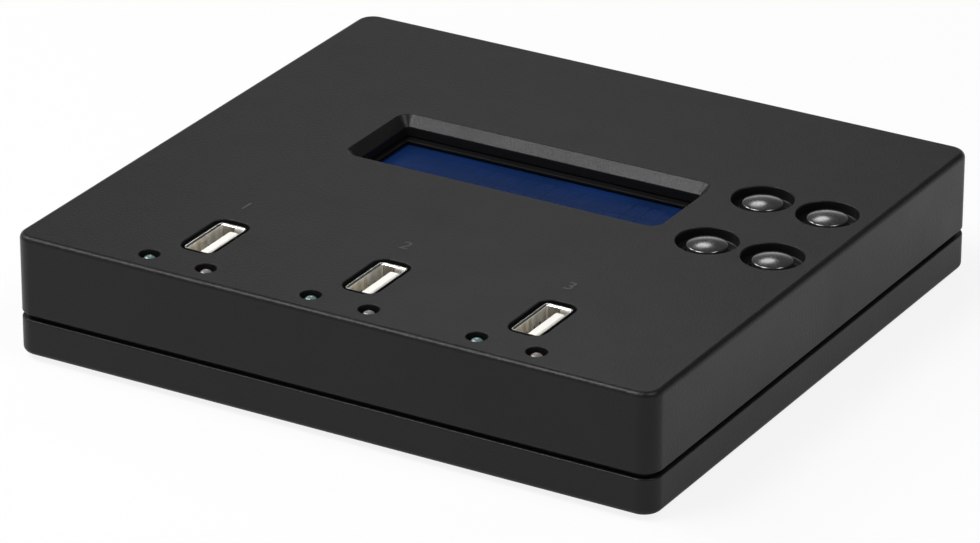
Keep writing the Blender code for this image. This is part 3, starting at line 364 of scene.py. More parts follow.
def combine(target: bpy.types.Object, helpers: Sequence[bpy.types.Object], how: Join) -> bpy.types.Object:
    """Cuts helpers out of a solid, or fuses them to it, and removes them.

    Args:
        target: the solid that changes.
        helpers: the solids that change it, which don't overlap one another.
        how: whether they are cut out or fused on.

    Returns:
        The target.
    """
    helper = merged(target.name + "_helper", helpers)
    step = target.modifiers.new("join", "BOOLEAN")
    step.operation = how.value
    step.solver = "EXACT"
    step.object = helper
    settle(target)
    remove(helper)
    return target


def moved(made: bpy.types.Object, matrix: Matrix) -> bpy.types.Object:
    """Moves an object's mesh by a matrix, and leaves its origin where it is."""
    made.data.transform(matrix)
    made.data.update()
    return made


def towards_back(x: float, y: float, z: float) -> Matrix:
    """Gives the matrix that lays a solid built up +Z along +Y, with its foot at a point."""
    return Matrix.Translation((x, y, z)) @ Matrix.Rotation(math.radians(-90.0), 4, "X")


def bevelled(made: bpy.types.Object, width: float, segments: int = 3) -> bpy.types.Object:
    """Rounds the sharp edges of a mesh.

    Args:
        made: the object.
        width: how far the rounding reaches from each edge.
        segments: the number of facets across each edge.

    Returns:
        The object.
    """
    step = made.modifiers.new("round", "BEVEL")
    step.width = width
    step.segments = segments
    step.limit_method = "ANGLE"
    step.angle_limit = math.radians(35.0)
    step.harden_normals = False
    return settle(made)


def smooth(made: bpy.types.Object, angle: float = 32.0) -> bpy.types.Object:
    """Shades a mesh smoothly, keeps its sharp edges, and lets its large faces stay flat.

    Args:
        made: the object.
        angle: the angle in degrees from which an edge stays sharp.

    Returns:
        The object.
    """
    made.data.shade_smooth()
    made.data.set_sharp_from_angle(angle=math.radians(angle))
    step = made.modifiers.new("flatten", "WEIGHTED_NORMAL")
    step.mode = "FACE_AREA"
    step.keep_sharp = True
    return settle(made)


# Materials


class Nodes:
    """Adds nodes to one tree and joins them."""

    def __init__(self, tree: bpy.types.NodeTree) -> None:
        """Takes the tree.

        Args:
            tree: the tree that the nodes go into.
        """
        self.tree = tree

    def add(self, kind: str, inputs: dict[str | int, Any] | None = None, **settings: Any) -> bpy.types.Node:
        """Adds a node.

        Args:
            kind: the type of the node.
            inputs: a value or an output socket for each input that is set.
            settings: the node's own properties.

        Returns:
            The node.
        """
        node = self.tree.nodes.new(kind)
        for name, value in settings.items():
            setattr(node, name, value)
        for key, value in (inputs or {}).items():
            if isinstance(value, bpy.types.NodeSocket):
                self.tree.links.new(value, node.inputs[key])
            else:
                node.inputs[key].default_value = value
        return node

    def math(self, operation: str, first: Any, second: Any = 0.0) -> bpy.types.NodeSocket:
        """Adds a sum on one or two values and gives its result."""
        return self.add("ShaderNodeMath", {0: first, 1: second}, operation=operation).outputs[0]

    def ramp(
        self, value: Any, low: float, high: float, start: Any = 0.0, end: Any = 1.0
    ) -> bpy.types.NodeSocket:
        """Maps a value from low..high to start..end, and holds it at those ends.

        Args:
            value: the value that is mapped.
            low: where the value starts.
            high: where it ends.
            start: the result at the low end.
            end: the result at the high end.

        Returns:
            The mapped value.
        """
        return self.add(
            "ShaderNodeMapRange",
            {"Value": value, "From Min": low, "From Max": high, "To Min": start, "To Max": end},
        ).outputs["Result"]


class MaterialNodes(Nodes):
    """The nodes of one material."""

    def __init__(self, name: str) -> None:
        """Starts a material that holds a shader and its output.

        Args:
            name: the name of the material.
        """
        self.material = bpy.data.materials.new(name)
        self.material.use_nodes = True
        super().__init__(self.material.node_tree)
        self.shader = self.tree.nodes["Principled BSDF"]
        self.place = self.add("ShaderNodeTexCoord").outputs["Object"]

    def noise(
        self, size: float, detail: float = 2.0, stretch: Colour = (1.0, 1.0, 1.0)
    ) -> bpy.types.NodeSocket:
        """Adds a noise pattern.

        Args:
            size: the size of its patches in metres.
            detail: how many finer layers lie over it.
            stretch: how much tighter the pattern is along each axis.

        Returns:
            The pattern, from 0 to 1.
        """
        spread = self.add("ShaderNodeMapping", {"Vector": self.place, "Scale": stretch})
        return self.add(
            "ShaderNodeTexNoise",
            {"Vector": spread.outputs[0], "Scale": 1 / size, "Detail": detail, "Roughness": 0.55}
        ).outputs["Fac"]

    def mix(self, share: Any, first: Any, second: Any) -> bpy.types.NodeSocket:
        """Mixes two colours by a share."""
        return self.add("ShaderNodeMix", {0: share, 6: first, 7: second}, data_type="RGBA").outputs[2]

    def bump(self, height: Any, depth: float, strength: float = 1.0) -> bpy.types.NodeSocket:
        """Turns a height pattern of that depth in metres into a bumped normal."""
        return self.add(
            "ShaderNodeBump", {"Height": height, "Distance": depth, "Strength": strength}
        ).outputs[0]

    def set(self, **sockets: Any) -> None:
        """Sets or joins the shader's sockets, named with _ for each space."""
        for name, value in sockets.items():
            socket = self.shader.inputs[name.replace("_", " ")]
            if isinstance(value, bpy.types.NodeSocket):
                self.tree.links.new(value, socket)
            else:
                socket.default_value = value


def tinted(colour: Colour, share: float) -> tuple[float, float, float, float]:
    """Gives a colour made lighter or darker by a share."""
    return (colour[0] * share, colour[1] * share, colour[2] * share, 1.0)


class Grain(Enum):
    """The fine relief of a surface: the size of its grains and their depth."""

    SPARK_ERODED = (0.50 * MM, 0.055 * MM)
    SATIN = (0.9 * MM, 0.006 * MM)
    GLOSSY = (5.0 * MM, 0.006 * MM)
    DRAWN = (0.5 * MM, 0.004 * MM)
    RUBBERY = (0.6 * MM, 0.03 * MM)


@dataclass(frozen=True)
class Finish:
    """A surface whose colour, roughness and relief all vary a little."""

    name: str
    colour: Colour
    roughness: float
    grain: Grain = Grain.SATIN
    metallic: float = 0.0
    specular: float = 0.5
    coat: float = 0.0
    coat_roughness: float = 0.08
    mottle: float = 0.08
    mottle_size: float = 22.0 * MM
    stretch: Colour = (1.0, 1.0, 1.0)

    def material(self) -> bpy.types.Material:
        """Builds the material.

        Returns:
            The material.
        """
        nodes = MaterialNodes(self.name)
        nodes.set(Metallic=self.metallic, Specular_IOR_Level=self.specular)
        nodes.set(Coat_Weight=self.coat, Coat_Roughness=self.coat_roughness)
        nodes.set(Base_Color=self.paint(nodes))
        size, depth = self.grain.value
        fine = nodes.noise(size, 3.0, self.stretch)
        broad = nodes.noise(self.mottle_size * 0.6, 2.0)
        spread = nodes.math("ADD", nodes.math("MULTIPLY", fine, 0.5), nodes.math("MULTIPLY", broad, 0.5))
        low = max(0.02, self.roughness - 0.09)
        nodes.set(Roughness=nodes.ramp(spread, 0.25, 0.75, low, self.roughness + 0.07))
        nodes.set(Normal=nodes.bump(self.relief(nodes, fine), depth))
        self.extra(nodes)
        return nodes.material

    def paint(self, nodes: MaterialNodes) -> bpy.types.NodeSocket:
        """Gives the colour, with broad patches a little lighter and darker."""
        patches = nodes.ramp(nodes.noise(self.mottle_size, 3.0), 0.3, 0.7)
        return nodes.mix(patches, tinted(self.colour, 1 - self.mottle), tinted(self.colour, 1 + self.mottle))

    def relief(self, nodes: MaterialNodes, fine: bpy.types.NodeSocket) -> bpy.types.NodeSocket:
        """Gives the height of the surface, which is the fine pattern itself."""
        return fine

    def extra(self, nodes: MaterialNodes) -> None:
        """Sets whatever else the finish needs, which is nothing for most."""


@dataclass(frozen=True)
class CasePlastic(Finish):
    """Spark-eroded moulded plastic, rubbed a little paler along its outer edges."""

    half_width: float = 70.0 * MM
    half_depth: float = 65.0 * MM
    top: float = 26.0 * MM
    bottom: float = 1.0 * MM
    edge: float = 1.6 * MM

    def paint(self, nodes: MaterialNodes) -> bpy.types.NodeSocket:
        """Gives the colour, paler where hands and tables rub the long edges.

        Args:
            nodes: the material's nodes.

        Returns:
            The colour.
        """
        base = super().paint(nodes)
        specks = nodes.ramp(nodes.noise(0.25 * MM, 1.0), 0.62, 0.8)
        base = nodes.mix(nodes.math("MULTIPLY", specks, 0.35), base, tinted(self.colour, 1.7))
        axes = nodes.add("ShaderNodeSeparateXYZ", {0: nodes.place})
        out_x = nodes.math("SUBTRACT", nodes.math("ABSOLUTE", axes.outputs[0]), self.half_width - self.edge)
        out_y = nodes.math("SUBTRACT", nodes.math("ABSOLUTE", axes.outputs[1]), self.half_depth - self.edge)
        out = nodes.ramp(nodes.math("MAXIMUM", out_x, out_y), 0.0, self.edge)
        high = nodes.ramp(axes.outputs[2], self.top - self.edge, self.top)
        low = nodes.ramp(axes.outputs[2], self.bottom + self.edge, self.bottom)
        rub = nodes.math("MULTIPLY", out, nodes.math("MAXIMUM", high, low))
        broken = nodes.math("MULTIPLY", rub, nodes.ramp(nodes.noise(3.0 * MM, 4.0), 0.35, 0.65, 0.2, 1.0))
        return nodes.mix(nodes.math("MULTIPLY", broken, 0.6), base, tinted(self.colour, 1.55))


@dataclass(frozen=True)
class SheetMetal(Finish):
    """Plated sheet, drawn along Z, with faint stains."""

    stain: Colour = (0.42, 0.38, 0.31)

    def paint(self, nodes: MaterialNodes) -> bpy.types.NodeSocket:
        """Gives the plating's colour, dulled in a few patches."""
        stained = nodes.ramp(nodes.noise(1.8 * MM, 4.0), 0.50, 0.8, 0.0, 0.6)
        return nodes.mix(stained, super().paint(nodes), (*self.stain, 1.0))


@dataclass(frozen=True)
class DisplayGlass(Finish):
    """Dark blue display glass, a little brighter where light gets to the layer under it."""

    # Painted light: the brighter blue of the patches where light would reach the layer under the glass.
    glow: Colour = (0.005, 0.020, 0.085)

    def paint(self, nodes: MaterialNodes) -> bpy.types.NodeSocket:
        """Gives the blue, with random patches of painted light in a brighter blue."""
        painted_light_patches = nodes.ramp(nodes.noise(16.0 * MM, 1.0), 0.35, 0.65)
        return nodes.mix(painted_light_patches, (*self.colour, 1.0), (*self.glow, 1.0))


@dataclass(frozen=True)
class SolderResist(Finish):
    """Green resist over fibreglass, paler over the copper tracks."""

    track: float = 2.6 * MM

    def paint(self, nodes: MaterialNodes) -> bpy.types.NodeSocket:
        """Gives the green, with tracks that turn square corners.

        Args:
            nodes: the material's nodes.

        Returns:
            The colour.
        """
        cells = nodes.add(
            "ShaderNodeTexVoronoi", {"Vector": nodes.place, "Scale": 1 / self.track}, distance="CHEBYCHEV"
        )
        tracks = nodes.ramp(cells.outputs["Distance"], 0.30, 0.34)
        edge = nodes.ramp(cells.outputs["Distance"], 0.46, 0.42)
        lines = nodes.math("MULTIPLY", tracks, edge)
        return nodes.mix(nodes.math("MULTIPLY", lines, 0.7), super().paint(nodes), tinted(self.colour, 2.1))


@dataclass(frozen=True)
class TwoPart(Finish):
    """A part that has another colour above or below a level, such as tinned leads under a package."""

    level: float = 0.0
    above: bool = False
    other: Colour = (0.6, 0.6, 0.58)

    def paint(self, nodes: MaterialNodes) -> bpy.types.NodeSocket:
        """Gives the two colours."""
        height = nodes.add("ShaderNodeSeparateXYZ", {0: nodes.place}).outputs[2]
        share = nodes.math("GREATER_THAN" if self.above else "LESS_THAN", height, self.level)
        return nodes.mix(share, super().paint(nodes), (*self.other, 1.0))


@dataclass(frozen=True)
class LampResin(Finish):
    """Frosted resin, which light soaks into."""

    soak: float = 0.6 * MM

    def extra(self, nodes: MaterialNodes) -> None:
        """Lets light soak into the resin."""
        nodes.set(Subsurface_Weight=0.35, Subsurface_Scale=self.soak)


CASE = CasePlastic("case_black_grain", (0.0082, 0.0082, 0.0084), 0.36, Grain.SPARK_ERODED, specular=0.20)
RUBBER = Finish("foot_rubber_matt", (0.020, 0.020, 0.020), 0.85, Grain.RUBBERY, specular=0.25)
ZINC = SheetMetal(
    "screw_zinc", (0.50, 0.50, 0.52), 0.34, Grain.DRAWN, metallic=1.0, mottle_size=2.5 * MM,
    stain=(0.47, 0.43, 0.30)
)
NICKEL = SheetMetal(
    "shell_nickel_drawn", (0.84, 0.83, 0.80), 0.24, Grain.DRAWN, metallic=1.0, stretch=(1, 1, 0.1),
    stain=(0.70, 0.67, 0.61)
)
GOLD = Finish("contact_gold", (0.90, 0.74, 0.46), 0.24, Grain.DRAWN, metallic=1.0, mottle_size=1.0 * MM)
IVORY = Finish(
    "socket_white_moulded", (0.86, 0.84, 0.79), 0.42, Grain.SATIN, mottle=0.03, mottle_size=5.0 * MM
)
BOARD = SolderResist("board_green_resist", (0.018, 0.13, 0.05), 0.42, Grain.SATIN)
PAINTED = Finish(
    "display_frame_painted", (0.004, 0.004, 0.0045), 0.55, Grain.SATIN, specular=0.12, mottle=0.15
)
GLASS = DisplayGlass("display_glass_blue", (0.004, 0.014, 0.055), 0.14, Grain.GLOSSY, specular=0.15)
CELLS = Finish(
    "display_cells", (0.005, 0.019, 0.078), 0.20, Grain.GLOSSY, specular=0.12, mottle_size=9.0 * MM
)
MILKY = Finish("backlight_milky", (0.80, 0.82, 0.85), 0.45, Grain.SATIN, mottle=0.03)
KEY = Finish(
    "key_grey_lacquered", (0.020, 0.020, 0.0205), 0.22, specular=0.8, coat=1.0, coat_roughness=0.17,
    mottle_size=3.0 * MM,
)
DARK = Finish(
    "moulded_black_satin", (0.013, 0.013, 0.0135), 0.38, Grain.SATIN, specular=0.4, mottle_size=6.0 * MM
)
AMBER = Finish("plunger_brown_moulded", (0.25, 0.14, 0.07), 0.42, Grain.SATIN, mottle_size=2.0 * MM)
TEAL_LAMP = LampResin("lamp_green_frosted", (0.15, 0.21, 0.21), 0.22, coat=1.0, mottle=0.04)
ROSE_LAMP = LampResin("lamp_red_frosted", (0.20, 0.185, 0.18), 0.22, coat=1.0, mottle=0.04)
INK = Finish("numeral_ink", (0.050, 0.050, 0.050), 0.50, Grain.SATIN, mottle=0.2, mottle_size=0.6 * MM)
WHITE_INK = Finish("rocker_ink", (0.62, 0.62, 0.60), 0.50, Grain.SATIN, mottle=0.08, mottle_size=0.6 * MM)


# Geometry Nodes


class GeometryTree(Nodes):
    """Builds a Geometry Nodes tree with named inputs and runs it on an object."""

    def __init__(self, name: str, inputs: dict[str, str]) -> None:
        """Starts a tree.

        Args:
            name: the name of the tree.
            inputs: the socket type of each named input.
        """
        super().__init__(bpy.data.node_groups.new(name, "GeometryNodeTree"))
        self.tree.interface.new_socket("Geometry", in_out="INPUT", socket_type="NodeSocketGeometry")
        self.ids: dict[str, str] = {}
        for label, kind in inputs.items():
            made = self.tree.interface.new_socket(label, in_out="INPUT", socket_type=kind)
            self.ids[label] = made.identifier
        self.tree.interface.new_socket("Geometry", in_out="OUTPUT", socket_type="NodeSocketGeometry")
        self.inputs = self.tree.nodes.new("NodeGroupInput").outputs

    def close(self, instances: bpy.types.NodeSocket) -> None:
        """Ends the tree: the instances become a mesh, which takes the tree's Finish.

        Args:
            instances: the instances that the tree made.
        """
        real = self.add("GeometryNodeRealizeInstances", {"Geometry": instances})
        painted = self.add(
            "GeometryNodeSetMaterial", {"Geometry": real.outputs[0], "Material": self.inputs["Finish"]}
        )
        self.add("NodeGroupOutput", {0: painted.outputs[0]})

    def run(self, name: str, seed_object: bpy.types.Object, values: dict[str, Any]) -> bpy.types.Object:
        """Runs the tree and gives its result as a plain mesh.

        Args:
            name: the name of the new object.
            seed_object: the object whose geometry goes in, which is removed.
            values: a value for each named input.

        Returns:
            The new object.
        """
        step = seed_object.modifiers.new("repeat", "NODES")
        step.node_group = self.tree
        for label, value in values.items():
            step[self.ids[label]] = value
        graph = bpy.context.evaluated_depsgraph_get()
        mesh = bpy.data.meshes.new_from_object(
            seed_object.evaluated_get(graph), preserve_all_data_layers=True, depsgraph=graph
        )
        mesh.name = name
        made = bpy.data.objects.new(name, mesh)
        bpy.context.scene.collection.objects.link(made)
        seed_object.modifiers.clear()
        remove(seed_object)
        return made


def repeat_tree() -> GeometryTree:
    """Builds the tree that sets one part on every point, turned by the point's own turn and a random one.

    Returns:
        The tree.
    """
    made = GeometryTree(
        "repeat_part",
        {"Part": "NodeSocketObject", "Loose Turn": "NodeSocketFloat", "Seed": "NodeSocketInt",
         "Finish": "NodeSocketMaterial"},
    )
    part = made.add("GeometryNodeObjectInfo", {"Object": made.inputs["Part"]}, transform_space="ORIGINAL")
    own = made.add("GeometryNodeInputNamedAttribute", {"Name": "turn"}, data_type="FLOAT")
    loose = made.add(
        "FunctionNodeRandomValue",
        {2: 0.0, 3: made.inputs["Loose Turn"], "Seed": made.inputs["Seed"]}, data_type="FLOAT",
    )
    total = made.add("ShaderNodeMath", {0: own.outputs["Attribute"], 1: loose.outputs[1]}, operation="ADD")
    turn = made.add("ShaderNodeCombineXYZ", {"Z": total.outputs[0]})
    to_rotation = made.add("FunctionNodeEulerToRotation", {0: turn.outputs[0]})
    placed = made.add(
        "GeometryNodeInstanceOnPoints",
        {
            "Points": made.inputs["Geometry"], "Instance": part.outputs["Geometry"],
            "Rotation": to_rotation.outputs[0]
        },
    )
    made.close(placed.outputs[0])
    return made


def repeated(
    tree: GeometryTree,
    name: str,
    part: bpy.types.Object,
    places: Sequence[Sequence[float]],
    finish: bpy.types.Material,
    turns: Sequence[float] = (),
    loose_turn: float = 0.0,
) -> bpy.types.Object:
    """Sets a part on several places and gives the result as one mesh.

    Args:
        tree: the tree from repeat_tree.
        name: the name of the new object.
        part: the part, with its origin where a place comes, which is removed.
        places: where it goes.
        finish: the material of the result.
        turns: how far each is turned about Z, none by default.
        loose_turn: the most that each is turned further, at random.

    Returns:
        The new object.
    """
    points = mesh_object(name + "_points", places, [])
    own = points.data.attributes.new("turn", "FLOAT", "POINT")
    own.data.foreach_set("value", [float(t) for t in turns] or [0.0] * len(places))
    part.data.materials.clear()
    part.data.materials.append(finish)
    made = tree.run(name, points, {"Part": part, "Loose Turn": loose_turn, "Seed": 7, "Finish": finish})
    remove(part)
    return made


def dot_matrix_tree() -> GeometryTree:
    """Builds the tree that lays out the cells of a character display, each a grid of flat dots.

    Returns:
        The tree.
    """
    sizes = [
        "Dot Width", "Dot Depth", "Dot Height", "Dot Pitch X", "Dot Pitch Y", "Cell Pitch X", "Cell Pitch Y"
    ]
    counts = ["Dots X", "Dots Y", "Cells X", "Cells Y"]
    kinds = {label: "NodeSocketFloat" for label in sizes} | {label: "NodeSocketInt" for label in counts}
    made = GeometryTree("dot_matrix", kinds | {"Finish": "NodeSocketMaterial"})

    def span(pitch: str, count: str) -> bpy.types.NodeSocket:
        """Gives the length of a row of that count and pitch.

        Args:
            pitch: the name of the input with the pitch.
            count: the name of the input with the count.

        Returns:
            The length.
        """
        gaps = made.add("ShaderNodeMath", {0: made.inputs[count], 1: 1.0}, operation="SUBTRACT")
        return made.add(
            "ShaderNodeMath", {0: gaps.outputs[0], 1: made.inputs[pitch]}, operation="MULTIPLY"
        ).outputs[0]

    def grid(x: str, y: str, count_x: str, count_y: str) -> bpy.types.NodeSocket:
        """Gives a grid of points.

        Args:
            x: the input with the pitch along X.
            y: the input with the pitch along Y.
            count_x: the input with the count along X.
            count_y: the input with the count along Y.

        Returns:
            The points.
        """
        return made.add(
            "GeometryNodeMeshGrid",
            {"Size X": span(x, count_x), "Size Y": span(y, count_y), "Vertices X": made.inputs[count_x],
             "Vertices Y": made.inputs[count_y]},
        ).outputs[0]

    size = made.add(
        "ShaderNodeCombineXYZ",
        {0: made.inputs["Dot Width"], 1: made.inputs["Dot Depth"], 2: made.inputs["Dot Height"]},
    )
    dot = made.add("GeometryNodeMeshCube", {"Size": size.outputs[0]})
    cell = made.add(
        "GeometryNodeInstanceOnPoints",
        {"Points": grid("Dot Pitch X", "Dot Pitch Y", "Dots X", "Dots Y"), "Instance": dot.outputs[0]},
    )
    rows = made.add(
        "GeometryNodeInstanceOnPoints",
        {"Points": grid("Cell Pitch X", "Cell Pitch Y", "Cells X", "Cells Y"), "Instance": cell.outputs[0]},
    )
    made.close(rows.outputs[0])
    return made


# Sub-assemblies


def middle(node: str) -> Vector:
    """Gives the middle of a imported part's box."""
    low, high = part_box(node)
    return (low + high) / 2


@dataclass
class Assembly:
    """A group of pieces that belong together."""

    pieces: list[bpy.types.Object] = field(default_factory=list)

    def keep(
        self, piece: bpy.types.Object, slot: str, finish: bpy.types.Material | None, nodes: Sequence[str],
        body: str = "root",
    ) -> bpy.types.Object:
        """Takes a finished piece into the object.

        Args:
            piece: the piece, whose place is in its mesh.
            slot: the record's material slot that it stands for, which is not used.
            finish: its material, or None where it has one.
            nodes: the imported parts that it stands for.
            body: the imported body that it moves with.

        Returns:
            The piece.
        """
        if finish is not None:
            piece.data.materials.clear()
            piece.data.materials.append(finish)
        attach(piece, body)
        if nodes:
            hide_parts(*nodes)
        self.pieces.append(piece)
        return piece

    def repaint(self, frame: dict[str, Any], nodes: Iterable[str], finish: bpy.types.Material) -> None:
        """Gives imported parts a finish, and leaves their shape as it is.

        Args:
            frame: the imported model.
            nodes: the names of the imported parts.
            finish: the material.
        """
        for node in nodes:
            part = frame["nodes"][node]
            part.data.materials.clear()
            part.data.materials.append(finish)

    def report(self) -> None:
        """Says what was made."""
        for piece in self.pieces:
            LOG.info("%s: %s, %d faces", type(self).__name__, piece.name, len(piece.data.polygons))


@dataclass
class Case(Assembly):
    """Sizes that the two halves of the case share."""

    width: float = 140.0 * MM
    depth: float = 130.0 * MM
    corner: float = 3.8 * MM
    fillet: float = 1.2 * MM
    lip: float = 0.35 * MM
    wall: float = 2.4 * MM
    groove: float = 1.3 * MM
    seat: float = 0.3 * MM
    corner_steps: int = 14

    def outline(self, inset: float) -> Outline:
        """Gives the case's outline, drawn in by an inset."""
        return rounded_rectangle(
            self.width - 2 * inset, self.depth - 2 * inset, self.corner - inset, self.corner_steps
        )

    def cavity(self) -> Outline:
        """Gives the outline of the room inside the walls."""
        return self.outline(self.wall)

    def towers(self) -> list[Point]:
        """Gives the places of the four case screws."""
        return [tuple(middle(f"case_screw_{where}")[:2]) for where, _, _ in CORNERS]


@dataclass
class CaseCover(Case):
    """The top half of the case, with its window, key wells, socket slots and lamp holes."""

    drop: float = 0.03 * MM
    roof: float = 2.4 * MM
    window: tuple[float, float, float] = (67.0 * MM, 19.6 * MM, 0.9 * MM)
    chamfer: float = 2.0 * MM
    rim: float = 1.2 * MM
    well: float = 6.2 * MM
    well_depth: float = 2.4 * MM
    well_floor: float = 1.2 * MM
    key_hole: float = 4.4 * MM
    slot: tuple[float, float, float] = (8.0 * MM, 15.8 * MM, 2.8 * MM)
    lamp_hole: float = 2.1 * MM
    post: float = 3.4 * MM
    pilot: float = 1.6 * MM
    inlet_hole: float = 4.3 * MM
    rocker_hole: tuple[float, float, float] = (13.2 * MM, 8.2 * MM, 0.5 * MM)

    def build(self) -> None:
        """Builds the shell and everything cut into it."""
        low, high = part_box("top_cover")
        top = high.z - self.drop
        ceiling = high.z - self.roof
        wall = arc_path(
            [(3 * MM, low.z, 0.0), (0.0, low.z, self.lip), (0.0, top, self.fillet), (4 * MM, top, 0.0)], 8
        )
        levels = [(self.outline(inset), z) for inset, z in wall[1:-1]]
        cover = loft("case_cover", levels)
        inside = [prism("cavity", self.cavity(), low.z - OVERRUN, ceiling)]
        combine(cover, inside, Join.CUT)
        tongue_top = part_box("base_tray")[1].z
        rebate = prism(
            "rebate", self.outline(self.groove - self.seat), low.z - OVERRUN, tongue_top + self.seat
        )
        combine(cover, [rebate], Join.CUT)
        combine(cover, self.added(ceiling), Join.FUSE)
        for cup in self.cups(high.z):
            combine(cover, [cup], Join.FUSE)
        combine(cover, self.top_cuts(top, high.z), Join.CUT)
        combine(cover, self.through_cuts(top, high.z), Join.CUT)
        combine(cover, self.back_cuts(high.y), Join.CUT)
        self.keep(smooth(cover), "case_black", CASE.material(), ["top_cover"])

    def keys(self) -> list[Vector]:
        """Gives the places of the four keys."""
        return [middle(f"key_cap_{i}") for i in range(1, 5)]

    def added(self, ceiling: float) -> list[bpy.types.Object]:
        """Builds the wall round the display window and the posts for the case screws.

        Args:
            ceiling: the level of the roof's underside.

        Returns:
            The wall and the posts.
        """
        display = middle("display_frame")
        width, depth, corner = self.window
        grow = 2 * self.rim
        outline = rounded_rectangle(width + grow, depth + grow, corner + self.rim, 6, tuple(display[:2]))
        made = [prism("rim", outline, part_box("display_frame")[1].z + self.seat, ceiling + BITE)]
        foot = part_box("base_tray")[1].z - 3.0 * MM
        made += [prism("post", circle(self.post, 32, place), foot, ceiling + BITE) for place in self.towers()]
        return made

    def cups(self, top: float) -> list[bpy.types.Object]:
        """Builds the cups under the key wells."""
        low = top - self.well_depth - self.well_floor
        outlines = [circle(self.well + self.rim, 48, tuple(place[:2])) for place in self.keys()]
        return [prism("cup", outline, low, top - self.roof + BITE) for outline in outlines]

    def top_cuts(self, top: float, nominal: float) -> list[bpy.types.Object]:
        """Builds the cutters of the window, with its sloping sides, and of the key wells.

        Args:
            top: the level of the cover's top face.
            nominal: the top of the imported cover's box.

        Returns:
            The cutters.
        """
        display = middle("display_frame")
        width, depth, corner = self.window
        side = arc_path(
            [(0.0, nominal - 12.0 * MM, 0.0), (0.0, top - self.chamfer, 0.4 * MM),
             (self.chamfer, top - 0.01 * MM, 0.35 * MM), (self.chamfer + 2.0 * MM, top + 0.3 * MM, 0.0)], 6,
        )
        levels = [
            (rounded_rectangle(width + 2 * out, depth + 2 * out, corner + out, 10, tuple(display[:2])), z)
            for out, z in side
        ]
        made = [loft("window", levels)]
        floor = nominal - self.well_depth
        profile = arc_path(
            [(0.0, floor, 0.0), (self.well, floor, 0.4 * MM), (self.well, top - 0.01 * MM, 0.3 * MM),
             (self.well + 0.9 * MM, top + 0.1 * MM, 0.0)], 5,
        )
        profile += [(self.well + 0.9 * MM, top + OVERRUN), (0.0, top + OVERRUN)]
        made += [lathe("well", profile, 72, tuple(place[:2])) for place in self.keys()]
        return made

    def through_cuts(self, top: float, nominal: float) -> list[bpy.types.Object]:
        """Builds the cutters of the key holes, socket slots, lamp holes and screw pilots.

        Args:
            top: the level of the cover's top face.
            nominal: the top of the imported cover's box.

        Returns:
            The cutters.
        """
        floor = nominal - self.well_depth
        under = floor - self.well_floor - OVERRUN
        hole = [(0.0, under)] + [(self.key_hole + out, z) for out, z in mouth(under, floor, 0.15 * MM)]
        hole.append((0.0, hole[-1][1]))
        made = [lathe("key_hole", hole, 72, tuple(place[:2])) for place in self.keys()]
        ceiling = nominal - self.roof - OVERRUN
        width, length, corner = self.slot
        for i in range(1, 4):
            centre = tuple(middle(f"usb_shell_{i}")[:2])
            levels = [
                (rounded_rectangle(width + 2 * out, length + 2 * out, corner + out, 10, centre), z)
                for out, z in mouth(ceiling, top, 0.3 * MM)
            ]
            made.append(loft("slot", levels))
            for side in "ab":
                centre = tuple(middle(f"status_lamp_{i}{side}")[:2])
                lamp = [(0.0, ceiling)] + [
                    (self.lamp_hole + out, z) for out, z in mouth(ceiling, top, 0.2 * MM)
                ]
                lamp.append((0.0, lamp[-1][1]))
                made.append(lathe("lamp_hole", lamp, 40, centre))
        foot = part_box("base_tray")[1].z - 4.0 * MM
        made += [
            prism("pilot", circle(self.pilot, 24, place), foot, foot + 10 * MM) for place in self.towers()
        ]
        return made

    def back_cuts(self, back: float) -> list[bpy.types.Object]:
        """Builds the cutters of the holes for the power inlet and the rocker.

        Args:
            back: where the back face stands.

        Returns:
            The cutters.
        """
        inlet = middle("inlet_pin")
        start = -self.wall - OVERRUN
        low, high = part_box("power_inlet")
        place_z = low.z + 5.6 * MM
        ring = [(0.0, start)] + [(self.inlet_hole + out, z) for out, z in mouth(start, 0.0, 0.3 * MM)]
        ring.append((0.0, ring[-1][1]))
        made = [moved(lathe("inlet_hole", ring, 64), towards_back(inlet.x, back, place_z))]
        width, height, corner = self.rocker_hole
        levels = [
            (rounded_rectangle(width + 2 * out, height + 2 * out, corner + out, 6), z)
            for out, z in mouth(start, 0.0, 0.3 * MM)
        ]
        switch = middle("power_switch_housing")
        made.append(moved(loft("rocker_hole", levels), towards_back(switch.x, back, switch.z)))
        return made


